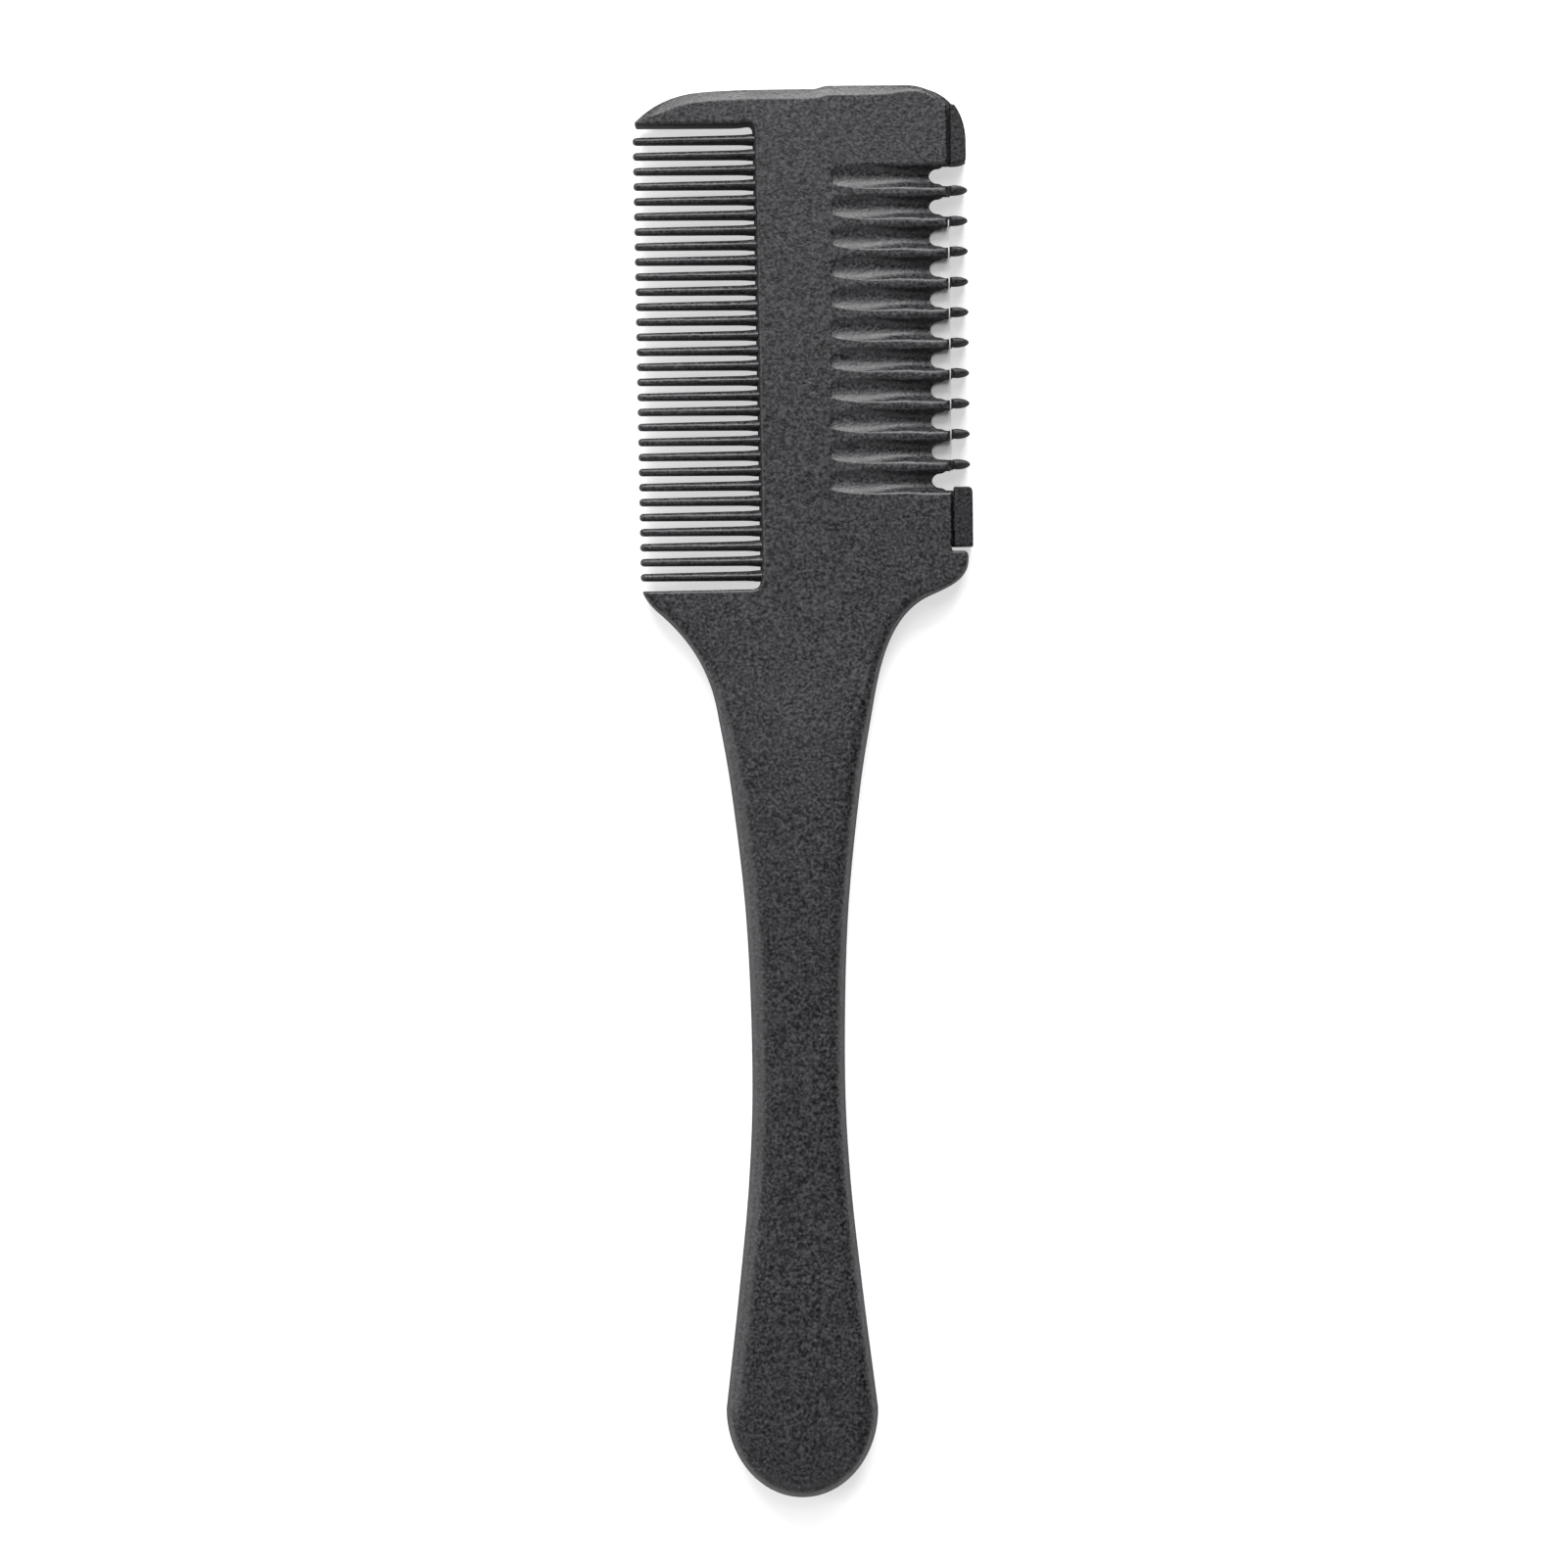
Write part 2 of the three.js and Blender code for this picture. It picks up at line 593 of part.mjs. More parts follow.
// A thin double-edge blade: cutting edges along Y, narrower tabs at both ends, and a slot with three
// round widenings that fits over the pegs
function razorBlade() {
  const half = { wide: BLADE.width / 2, edge: BLADE.edge / 2, tab: BLADE.tab / 2, long: BLADE.length / 2 };
  const outline = new THREE.Shape();
  outline.moveTo(half.wide, -half.edge);
  outline.lineTo(half.wide, half.edge);
  outline.lineTo(half.tab, half.edge);
  outline.lineTo(half.tab - BLADE.bevel, half.long);
  outline.lineTo(BLADE.bevel - half.tab, half.long);
  outline.lineTo(-half.tab, half.edge);
  outline.lineTo(-half.wide, half.edge);
  outline.lineTo(-half.wide, -half.edge);
  outline.lineTo(-half.tab, -half.edge);
  outline.lineTo(BLADE.bevel - half.tab, -half.long);
  outline.lineTo(half.tab - BLADE.bevel, -half.long);
  outline.lineTo(half.tab, -half.edge);
  let blade = plate(outline, [-BLADE.thick / 2, BLADE.thick / 2]);

  const slot = BLADE_SLOT.length / 2 - BLADE_SLOT.width / 2;
  const through = [-1, 1];
  blade = blade.subtract(box([-BLADE_SLOT.width / 2, BLADE_SLOT.width / 2], [-slot, slot], through));
  for (const y of [-slot, slot]) {
    blade = blade.subtract(post(BLADE_SLOT.width / 2, 0, y, through));
  }
  for (const y of [-BLADE_SLOT.reach, 0, BLADE_SLOT.reach]) {
    blade = blade.subtract(post(BLADE_SLOT.hole, 0, y, through));
  }
  return geometry(blade);
}

// ---- Assembly -----------------------------------------------------------------------------------

const blackPlastic = { color: 0x2c2c30, roughness: 0.5, metalness: 0 };
const finishes = {
  comb_body: new THREE.MeshStandardMaterial(blackPlastic),
  blade_cover: new THREE.MeshStandardMaterial(blackPlastic),
  hinge_pin: new THREE.MeshStandardMaterial({ color: 0x26262a, roughness: 0.4, metalness: 0.6 }),
  razor_blade: new THREE.MeshStandardMaterial({ color: 0xc9ccd0, roughness: 0.25, metalness: 1 }),
};

function piece(name, shape) {
  const mesh = new THREE.Mesh(shape, finishes[name]);
  mesh.name = name;
  return mesh;
}

const comb = new THREE.Group();
comb.name = "razor_comb";
comb.add(piece("comb_body", combBody()));
comb.add(piece("hinge_pin", hingePin()));

const blade = piece("razor_blade", razorBlade());
blade.position.set(BLADE_X, BLADE_Y, BLADE_Z);
comb.add(blade);

const coverGroup = new THREE.Group();
coverGroup.name = "cover";
coverGroup.add(piece("blade_cover", bladeCover()));
comb.add(coverGroup);

export default comb;
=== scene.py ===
"""The looks of the two-sided razor comb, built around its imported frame.

Shapes are made in millimetres in the frame's own axes and scaled to metres when they are placed.
The handle points along -Y and the fine teeth along -X, and the back lies on z = 0.
"""

import json
import math

import bpy
import numpy as np
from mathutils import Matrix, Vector
from mathutils.geometry import delaunay_2d_cdt


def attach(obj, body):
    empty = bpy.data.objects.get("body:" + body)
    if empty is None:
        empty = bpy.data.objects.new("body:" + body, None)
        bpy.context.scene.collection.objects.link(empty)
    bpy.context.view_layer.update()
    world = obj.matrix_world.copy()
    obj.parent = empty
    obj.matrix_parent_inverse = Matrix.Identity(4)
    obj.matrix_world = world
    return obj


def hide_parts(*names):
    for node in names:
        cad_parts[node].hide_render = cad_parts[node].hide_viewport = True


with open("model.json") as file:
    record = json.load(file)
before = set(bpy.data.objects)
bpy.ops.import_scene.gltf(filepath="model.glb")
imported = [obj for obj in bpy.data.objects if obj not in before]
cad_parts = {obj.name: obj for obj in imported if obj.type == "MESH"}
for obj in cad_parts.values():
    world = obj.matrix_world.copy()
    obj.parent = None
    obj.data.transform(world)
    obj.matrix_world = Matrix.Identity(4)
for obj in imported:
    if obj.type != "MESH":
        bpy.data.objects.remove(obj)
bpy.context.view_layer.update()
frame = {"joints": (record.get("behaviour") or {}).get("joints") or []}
MM = 0.001
FAR_X, FAR_Y = 40, 120  # outside the comb, for cutters that run past it

# ---- Dimensions, in millimetres -----------------------------------------------------------------

HEAD_THICK = 6.0
HANDLE_THICK = 7.0
HANDLE_END_Y = -109.83
HEAD_TOP_Y = 109.35
SHELL_TOP_Y = 109.85
HANDLE_X = -1.93
HANDLE_STATIONS = [
    (-96, 11.82),
    (-78, 9.68),
    (-60, 7.88),
    (-43, 7.23),
    (-20, 7.9),
    (0, 9.98),
    (12, 11.95),
]
BULB_Y = -96.0
HANDLE_ROUND = 2.6  # rounding of the handle's edges
CROWN = 0.8  # how much higher the handle is along its middle
HEAD_CROWN = 0.8  # how much higher the head is along its spine than at its sides
HEAD_HALF = 25.0  # from the spine to where the head's crown ends
THINNING_Y = (-10, 28)  # where the handle's thickness becomes the head's
CROWNING_Y = (-5, 30)  # where the handle's crown becomes the head's
SQUARING_Y = (-14, 26)  # where the handle's round edges become the head's
TOP_EDGE_Y = (106.5, 107.5)  # above this, the finish of the edges changes more slowly
FINISH_BLUR = (0.9, 2.2)  # along the outline, below and above that
FACE_STEP = 1.25  # spacing of the points inside the faces
FACE_MARGIN = 0.7

FINE_TEETH = 30
FINE_PITCH = 2.345
FINE_FIRST_Y = 101.84
FINE_TIP_X = (-26.3, -25.76)
FINE_ROOT_X = (-7.6, -7.05)
FINE_HALF_WIDTH = (0.6, 0.8)
FINE_SAG = 0.12  # how much lower the tips lie than the roots
FINE_HALF_THICK = (0.8, 2.0)
FINE_SQUARE = (2.3, 1.8)  # power of the section's outline, 2 for an ellipse and less for a diamond
FINE_NOSE = 0.55
FINE_FLARE = 0.13  # how much wider each side grows at the root
FINE_SUNK = 1.2  # how far a root reaches into the spine
BAR_EDGE_Y = (103.9, 31.7)
PARTING_Z = 3.0

SEAM_X = (22.76, 22.68)  # the shell's edge at the seam
SEAM_Y = (40, 106)
SHELL_INNER_Z = 3.1
SHOULDER_Y = 37.34
GUARD_TEETH = 10
GUARD_PITCH = 4.748
GUARD_FIRST_Y = 93.63
SHELL_LAG = 0.36  # how much lower the shell's notches lie than the cover's
GUARD_TIP_X = 25.85
GUARD_MOUTH_X = GUARD_TIP_X + 3
NOTCH_END_X = 19.85
NOTCH_HALF = (1.28, 1.66, 1.7)  # half width at its round end, at the seam and at its mouth
NUB_HALF = 0.8
NUB_NOSE = 2.1  # length of the rounded nose
NUB_ROOT = 0.4  # how far a tip reaches under the seam
NUB_LEAN = 0.3  # how much slimmer the tips are at their faces than at half height
NUB_ROUND = 0.25
NUB_TOP_Z = 5.15
RIM_FOOT_Z = 1.0  # inside the cover's plate
RIM_TOP_Z = 5.25
SCOOP_START_X = (4.6, 3.8)  # at the first and at the last groove
SCOOP_DISH = (0.82, 0.35)  # depth and power of the shallow dish a groove starts as
SCOOP_DIVE = (1.3, 2.5)  # depth and power of its dive towards the notch
SCOOP_RADIUS = (3.3, 1.5)  # in the dish and at the notch
SCOOP_NARROWS = (0.22, 0.8)
SCOOP_RIM = (0.4, 0.8)  # rounding of the grooves' rims
SCOOP_RINGS = 34
SCOOP_CROWDING = 1.7  # how much closer together the rings are at a groove's start
SCOOP_RUN_OUT = 1.3  # where the cutter ends, in lengths of the groove
SCOOP_LIFT = 0.004  # keeps the cutter's rim clear of the face

SEAM_GAP = 0.5
COVER_TOP_Y = 109.95
COVER_END_Y = 38.1
COVER_INNER_Z = 2.9
BLOCK_RIM_Y = 98.04
BLOCK_TOP_Y = 106.9
BLOCK_X = 25.6
STRIP_X = 26.1
STRIP_TOP_Y = 47.3

PIN_X = -1.42
PIN_Z = 1.6
PIN_RADIUS = 0.7
PIN_CLEARANCE = 0.05
PIN_END_Y = 35.9
PIN_HEAD = (1.1, 109.35, 109.75)  # its radius, start and end
BORE_RADIUS = 0.85
KNUCKLE_RADIUS = 1.6
KNUCKLE_GAP = 0.3
COVER_LEFT_X = PIN_X + KNUCKLE_RADIUS + KNUCKLE_GAP
KNUCKLE_SPAN = (COVER_END_Y, 102.3)
KNUCKLES = 5
OPEN_ANGLE = math.radians(frame["joints"][0]["range_deg"][1])

BLADE_WIDTH = 22.1
BLADE_LENGTH = 43.0
BLADE_EDGE = 37.4
BLADE_TAB = 15.6
BLADE_THICK = 0.1
BLADE_EDGE_X = 22.97
BLADE_Y = 70.35
BLADE_X = BLADE_EDGE_X - BLADE_WIDTH / 2
BLADE_Z = (SHELL_INNER_Z + COVER_INNER_Z) / 2
SLOT_LENGTH = 34.0
SLOT_WIDTH = 2.6
SLOT_HOLE = 2.5
PEG_REACH = 13.8
PEG_RADIUS = 2.2
PEG_BOTTOM = 2.45
SOCKET_RADIUS = 2.55
SOCKET_FLOOR = 2.3
LATCH_Y = (40.5, 46.0)
LATCH_Z = 4.0
LATCH_EDGE_Y = 43  # where the seam's place is taken for the bead and its groove
LATCH_BEAD = 0.3
LATCH_GROOVE = 0.5  # half the groove's height
LATCH_DEEP = 0.35
LATCH_SPARE = 0.4


def lerp(a, b, t):
    return a + (b - a) * t


def smoothstep(v, low, high):
    t = np.clip((v - low) / (high - low), 0, 1)
    return t * t * (3 - 2 * t)


def seam_x(y):
    """Where the shell's edge lies at the seam."""
    return lerp(*SEAM_X, (y - SEAM_Y[0]) / (SEAM_Y[1] - SEAM_Y[0]))


def rim_x(y):
    """Where the cover's rim begins beyond the seam."""
    return seam_x(y) + SEAM_GAP


# ---- Outlines -----------------------------------------------------------------------------------


class Path:
    """A closed outline, anticlockwise, whose points carry how their edge is finished.

    A finish is (wide, high, draft, bevel): the size of the rounding, how far it starts inside the outline,
    and how much of it is a straight bevel.
    """

    def __init__(self, x, y):
        self.points = [(x, y)]
        self.styles = []
        self.style = (0.3, 0.3, 0.0, 0.0)

    def add(self, points):
        for p in points:
            self.points.append((float(p[0]), float(p[1])))
            self.styles.append(self.style)
        return self

    def line(self, x, y, step=1.0):
        a = np.array(self.points[-1])
        b = np.array((x, y), float)
        count = max(1, math.ceil(np.linalg.norm(b - a) / step))
        return self.add(a + (b - a) * t for t in np.linspace(0, 1, count + 1)[1:])

    def curve(self, *controls, step=0.3):
        """A quadratic or cubic curve from where the outline is."""
        p = np.array([self.points[-1], *controls], float)
        length = np.linalg.norm(np.diff(p, axis=0), axis=1).sum()
        t = np.linspace(0, 1, max(5, math.ceil(length / step)) + 1)[1:, None]
        if len(p) == 3:
            return self.add((1 - t) ** 2 * p[0] + 2 * (1 - t) * t * p[1] + t**2 * p[2])
        return self.add(
            (1 - t) ** 3 * p[0]
            + 3 * (1 - t) ** 2 * t * p[1]
            + 3 * (1 - t) * t**2 * p[2]
            + t**3 * p[3]
        )

    def arc(self, x, y, radius, start, end, steps=16):
        turns = np.linspace(start, end, steps + 1)[1:]
        return self.add((x + radius * math.cos(a), y + radius * math.sin(a)) for a in turns)

    def closed(self):
        """Points and styles without the last point where it repeats the first."""
        points = np.array(self.points)
        styles = np.array([self.styles[0], *self.styles])
        if np.linalg.norm(points[0] - points[-1]) < 1e-6:
            points, styles = points[:-1], styles[:-1]
        return points, styles


def outline(path):
    return path.closed()[0]


def handle_half():
    """The handle's half width by y, on the smooth curve through its stations."""
    p = np.array(HANDLE_STATIONS, float)
    made = []
    for i in range(len(p) - 1):
        p0, p1, p2 = p[max(i - 1, 0)], p[i], p[i + 1]
        p3 = p[min(i + 2, len(p) - 1)]
        for t in np.linspace(0, 1, 12, endpoint=False):
            v0, v1 = (p2 - p0) / 2, (p3 - p1) / 2
            made.append(
                (2 * p1 - 2 * p2 + v0 + v1) * t**3
                + (-3 * p1 + 3 * p2 - 2 * v0 - v1) * t**2
                + v0 * t
                + p1
            )
    made.append(p[-1])
    return np.array(made)


HALF_TABLE = handle_half()


def half_at(y):
    return np.interp(y, HALF_TABLE[:, 0], HALF_TABLE[:, 1])


def body_path():
    handle = (HANDLE_ROUND, HANDLE_ROUND, 0.0, 0.0)
    neck = (1.8, 1.8, 0.0, 0.0)
    head = (1.0, 1.0, 0.0, 0.0)
    top_edge = (1.6, 0.78, 0.0, 0.9)
    bar_edge = (0.5, 0.5, 0.05, 0.0)
    spine_edge = (0.6, 0.6, 0.42, 0.0)
    seam = (0.25, 0.25, 0.0, 0.0)
    rib_ends = (1.0, 0.5, 0.0, 0.0)
    shoulder_corner = (0.4, 0.4, 0.0, 0.0)
    shell_corner = (0.8, 0.6, 0.0, 0.5)
    bar_tip = (0.3, 0.5, 0.0, 0.0)
    bulb = HANDLE_STATIONS[0][1]
    reach = BULB_Y - HANDLE_END_Y
    path = Path(HANDLE_X, HANDLE_END_Y)
    path.style = handle
    turns = np.linspace(-math.pi / 2, 0, 41)[1:]
    path.add((HANDLE_X + bulb * math.cos(a), BULB_Y + reach * math.sin(a)) for a in turns)
    path.add((HANDLE_X + half, y) for y, half in HALF_TABLE[1:])
    path.style = neck
    path.curve((11.1, 18), (12.4, 27.4), (19.4, 30.5), step=0.6)
    path.style = head
    path.curve((22.8, 32), (25.4, 33), (25.4, 36.2), step=0.4)
    path.style = shoulder_corner
    path.curve((25.4, SHOULDER_Y), (24.6, SHOULDER_Y), step=0.15)
    edge = seam_x(SHOULDER_Y)
    path.line(edge + 0.4, SHOULDER_Y, 0.3)
    path.curve((edge, SHOULDER_Y), (edge, SHOULDER_Y + 0.4), step=0.1)
    path.style = seam
    path.line(seam_x(47), 47, 0.8)
    path.style = rib_ends
    path.line(seam_x(97), 97, 0.8)
    path.style = seam
    path.line(seam_x(106.7), 106.7, 0.8)
    path.style = shell_corner
    path.curve((21, 108.6), (19.4, SHELL_TOP_Y), (16.2, SHELL_TOP_Y))
    path.style = top_edge
    path.line(4.4, SHELL_TOP_Y)
    path.curve((3.2, SHELL_TOP_Y), (2.9, HEAD_TOP_Y), (1.6, HEAD_TOP_Y))
    path.line(-7, HEAD_TOP_Y)
    path.curve((-10, HEAD_TOP_Y - 0.05), (-13.5, HEAD_TOP_Y - 0.1), (-16.2, 109))
    path.curve((-20.8, 108.5), (-23.6, 106.75), (-25.78, 104.64))
    path.style = bar_tip
    path.arc(-25.49, BAR_EDGE_Y[0] + 0.43, 0.43, math.radians(133), math.radians(270), 10)
    path.style = bar_edge
    path.line(FINE_ROOT_X[0] - 1.1, BAR_EDGE_Y[0])
    path.style = spine_edge
    path.curve((FINE_ROOT_X[0], BAR_EDGE_Y[0]), (FINE_ROOT_X[0], BAR_EDGE_Y[0] - 1.1), step=0.15)
    path.line(FINE_ROOT_X[1], BAR_EDGE_Y[1] + 1.5)
    path.style = bar_edge
    path.curve((FINE_ROOT_X[1], BAR_EDGE_Y[1]), (FINE_ROOT_X[1] - 1.5, BAR_EDGE_Y[1]), step=0.15)
    path.line(-25.07, BAR_EDGE_Y[1] - 0.14)
    path.style = bar_tip
    path.curve((-25.53, BAR_EDGE_Y[1] - 0.14), (-25.35, 31.14), step=0.12)
    path.style = head
    path.curve((-24.85, 29.96), (-23.3, 28.45), step=0.25)
    path.style = neck
    path.curve((-18.3, 24.2), (-15, 19.2), (HANDLE_X - 11.95, 12), step=0.6)
    path.style = handle
    path.add((HANDLE_X - half, y) for y, half in HALF_TABLE[::-1][1:])
    turns = np.linspace(-math.pi, -math.pi / 2, 41)[1:]
    path.add((HANDLE_X + bulb * math.cos(a), BULB_Y + reach * math.sin(a)) for a in turns)
    return path


def thinned(points, styles, gap=0.05):
    """Drops points that lie closer than gap to the one before."""
    keep = [0]
    for i in range(1, len(points)):
        if np.linalg.norm(points[i] - points[keep[-1]]) > gap:
            keep.append(i)
    if np.linalg.norm(points[keep[-1]] - points[0]) < gap:
        keep.pop()
    return points[keep], styles[keep]


def inward(points):
    """Directions into a closed outline, longer at corners so that its sides keep their distance."""
    ahead = np.roll(points, -1, 0) - points
    ahead /= np.linalg.norm(ahead, axis=1)[:, None]
    behind = np.roll(ahead, 1, 0)
    normal = np.stack([-(ahead[:, 1] + behind[:, 1]), ahead[:, 0] + behind[:, 0]], 1)
    normal /= np.linalg.norm(normal, axis=1)[:, None]
    side = np.stack([-ahead[:, 1], ahead[:, 0]], 1)
    return normal / np.maximum(0.5, (normal * side).sum(1))[:, None]


def room_inside(points):
    """The radius of the largest circle that touches the outline at each point and stays inside it."""
    normal = inward(points)
    normal /= np.linalg.norm(normal, axis=1)[:, None]
    gap = points[None, :, :] - points[:, None, :]
    toward = 2 * np.einsum("ijk,ik->ij", gap, normal)
    size = (gap**2).sum(2)
    return np.where(toward > 1e-7, size / np.maximum(toward, 1e-7), 1e3).min(1)


def along_smoothed(points, values, sigma):
    """Values blurred along a closed outline by its own length."""
    step = np.linalg.norm(np.roll(points, -1, 0) - points, axis=1)
    place = np.concatenate([[0], np.cumsum(step)[:-1]])
    total = step.sum()
    weight_of = (step + np.roll(step, 1)) / 2
    gap = np.abs(place[:, None] - place[None, :])
    gap = np.minimum(gap, total - gap)
    weight = np.exp(-0.5 * (gap / sigma) ** 2) * weight_of[None, :]
    return weight @ values / weight.sum(1)[:, None]


# ---- Meshes -------------------------------------------------------------------------------------


def mesh_object(name, verts, faces):
    mesh = bpy.data.meshes.new(name)
    mesh.from_pydata([tuple(map(float, v)) for v in verts], [], [tuple(map(int, f)) for f in faces])
    mesh.validate()
    mesh.update()
    made = bpy.data.objects.new(name, mesh)
    bpy.context.scene.collection.objects.link(made)
    return made


def skin_faces(rings, count):
    """Quads between neighbouring rings of count points each."""
    made = []
    for ring in range(rings - 1):
        for i in range(count):
            a = ring * count + i
            b = ring * count + (i + 1) % count
            made.append((a, b, b + count, a + count))
    return made


def loft(name, rings):
    """A closed body skinned over rings of equal length, anticlockwise as seen from the last ring."""
    count = len(rings[0])
    verts = np.concatenate([np.asarray(r, float) for r in rings])
    faces = skin_faces(len(rings), count)
    faces.append(tuple(range(count))[::-1])
    faces.append(tuple(range(len(verts) - count, len(verts))))
    return mesh_object(name, verts, faces)


def slab(name, points, low, high, top=0.0, bottom=0.0, steps=4):
    """A plate with quarter-round edges of the given radii."""
    points = thinned(points, points)[0]
    normal = inward(points)
    rings = []
    for i in range(steps + 1 if bottom else 1):
        turn = math.pi / 2 * (1 - i / steps) if bottom else 0
        inset = bottom * (1 - math.cos(turn))
        z = low + bottom * (1 - math.sin(turn))
        rings.append(np.column_stack([points + normal * inset, np.full(len(points), z)]))
    for i in range(steps + 1 if top else 1):
        turn = math.pi / 2 * i / steps if top else 0
        inset = top * (1 - math.cos(turn))
        z = high - top * (1 - math.sin(turn))
        rings.append(np.column_stack([points + normal * inset, np.full(len(points), z)]))
    return loft(name, rings)


def block(x, y, z):
    corners = np.array([(x[0], y[0]), (x[1], y[0]), (x[1], y[1]), (x[0], y[1])], float)
    return slab("block", corners, z[0], z[1])


def bar(radius, y, x=PIN_X, z=PIN_Z, sides=40):
    """A round bar along Y."""
    turns = np.linspace(0, 2 * math.pi, sides, endpoint=False)
    ring = np.column_stack([x + radius * np.cos(turns), np.zeros(sides), z - radius * np.sin(turns)])
    return loft("bar", [ring + (0, y[0], 0), ring + (0, y[1], 0)])


def post(radius, x, y, z, sides=48):
    turns = np.linspace(0, 2 * math.pi, sides, endpoint=False)
    ring = np.column_stack([x + radius * np.cos(turns), y + radius * np.sin(turns)])
    return slab("post", ring, z[0], z[1])


def joined(name, objects):
    """Several bodies that don't touch, as one mesh."""
    verts, faces = [], []
    for o in objects:
        start = len(verts)
        verts.extend(v.co[:] for v in o.data.vertices)
        faces.extend(tuple(i + start for i in p.vertices) for p in o.data.polygons)
        bpy.data.objects.remove(o)
    return mesh_object(name, verts, faces)


def combine(base, tool, operation):
    """Adds a closed body to another, cuts it away or keeps what they share, and uses the tool up."""
    modifier = base.modifiers.new("combine", "BOOLEAN")
    modifier.operation = operation
    modifier.solver = "MANIFOLD"
    modifier.object = tool
    graph = bpy.context.evaluated_depsgraph_get()
    mesh = bpy.data.meshes.new_from_object(base.evaluated_get(graph))
    base.modifiers.remove(modifier)
    base.data = mesh
    bpy.data.objects.remove(tool)
    return base


def add(base, *tools):
    for tool in tools:
        combine(base, tool, "UNION")
    return base


def cut(base, *tools):
    for tool in tools:
        combine(base, tool, "DIFFERENCE")
    return base


# ---- Repeated shapes ----------------------------------------------------------------------------


def notch_places(lag):
    first = GUARD_FIRST_Y + GUARD_PITCH / 2 - lag
    return [first - i * GUARD_PITCH for i in range(GUARD_TEETH + 1)]


def notch(y, z):
    end, seam, mouth = NOTCH_HALF
    centre = NOTCH_END_X + end
    path = Path(GUARD_MOUTH_X, y + mouth)
    path.line(GUARD_TIP_X, y + mouth)
    path.line(centre + 0.9, y + seam)
    path.curve((centre + 0.4, y + end), (centre, y + end))
    path.arc(centre, y, end, math.pi / 2, 1.5 * math.pi, 20)
    path.curve((centre + 0.4, y - end), (centre + 0.9, y - seam))
    path.line(GUARD_TIP_X, y - mouth)
    path.line(GUARD_MOUTH_X, y - mouth)
    return slab("notch", outline(path), z[0], z[1])


def notches(lag, z):
    return joined("notches", [notch(y, z) for y in notch_places(lag)])


def scoop_section(depth, r, f):
    """Half of a groove's cross-section from rim to bottom: a channel of radius r with rims of radius f."""
    centre = r - depth
    if centre > -f:
        out = math.sqrt(max(0.0, (r + f) ** 2 - (centre + f) ** 2))
        meet = math.atan2(-f - centre, out)
    else:
        out = r + f
        meet = 0.0
    rim_y, rim_z = out, -f
    made = [(out, 0.0)]
    for t in np.linspace(0, 1, 6)[1:]:
        turn = math.pi / 2 + (math.pi / 2 + meet) * t
        made.append((rim_y + f * math.cos(turn), rim_z + f * math.sin(turn)))
    low = max(meet, -math.pi / 2 + 1e-3) if centre > -f else 0.0
    for t in np.linspace(0, 1, 10)[0 if centre <= -f else 1 :]:
        turn = low + (-math.pi / 2 - low) * t
        made.append((r * math.cos(turn), centre + r * math.sin(turn)))
    while len(made) < 16:
        made.insert(1, made[1])
    return made


def scoop(start, y, up):
    """A groove's cutter: a shallow dish that turns into a deep channel before it meets the notch."""
    run = NOTCH_END_X - start
    rings = []
    places = [(i / SCOOP_RINGS) ** SCOOP_CROWDING for i in range(1, SCOOP_RINGS + 1)]
    for u in [*places, SCOOP_RUN_OUT]:
        along = min(u, 1)
        depth = SCOOP_DISH[0] * along ** SCOOP_DISH[1] + SCOOP_DIVE[0] * along ** SCOOP_DIVE[1]
        deep = float(smoothstep(u, *SCOOP_NARROWS))
        half = scoop_section(depth, lerp(*SCOOP_RADIUS, deep), lerp(*SCOOP_RIM, deep))
        x = start + run * u
        z = float(face_height(x, y)[0]) if up > 0 else 0.0
        right = [(x, y + a, z + (b + SCOOP_LIFT) * up) for a, b in half]
        left = [(x, y - a, z + (b + SCOOP_LIFT) * up) for a, b in half[::-1]][1:]
        out = half[0][0]
        ring = [(x, y + out, z + 2 * up), *right, *left, (x, y - out, z + 2 * up)]
        rings.append(np.array(ring[::-1] if up > 0 else ring))
    return loft("scoop", rings)


def grooves(lag, up):
    made = []
    for i, y in enumerate(notch_places(lag)):
        made.append(scoop(lerp(*SCOOP_START_X, i / GUARD_TEETH), y, up))
    return joined("grooves", made)


def knuckle_spans(of_cover):
    step = (KNUCKLE_SPAN[1] - KNUCKLE_SPAN[0]) / KNUCKLES
    spans = []
    for i in range(KNUCKLES):
        if (i % 2 == 0) == of_cover:
            spans.append((KNUCKLE_SPAN[0] + i * step, KNUCKLE_SPAN[0] + (i + 1) * step))
    return spans


# ---- Comb body ----------------------------------------------------------------------------------


def face_height(x, y):
    """Height of the front face away from its edges, and what it would be without its crown."""
    top = lerp(HANDLE_THICK, HEAD_THICK, smoothstep(y, *THINNING_Y))
    bulb = HANDLE_STATIONS[0][1]
    beyond = np.maximum(0, BULB_Y - y) / (BULB_Y - HANDLE_END_Y)
    across = (x - HANDLE_X) / np.where(y < BULB_Y, bulb, half_at(y))
    head = smoothstep(y, *CROWNING_Y)
    crown = CROWN * (1 - head) * np.minimum(1, across**2 + beyond**2)
    crown = crown + HEAD_CROWN * head * ((x - PIN_X) / HEAD_HALF) ** 2
    return top - crown, top


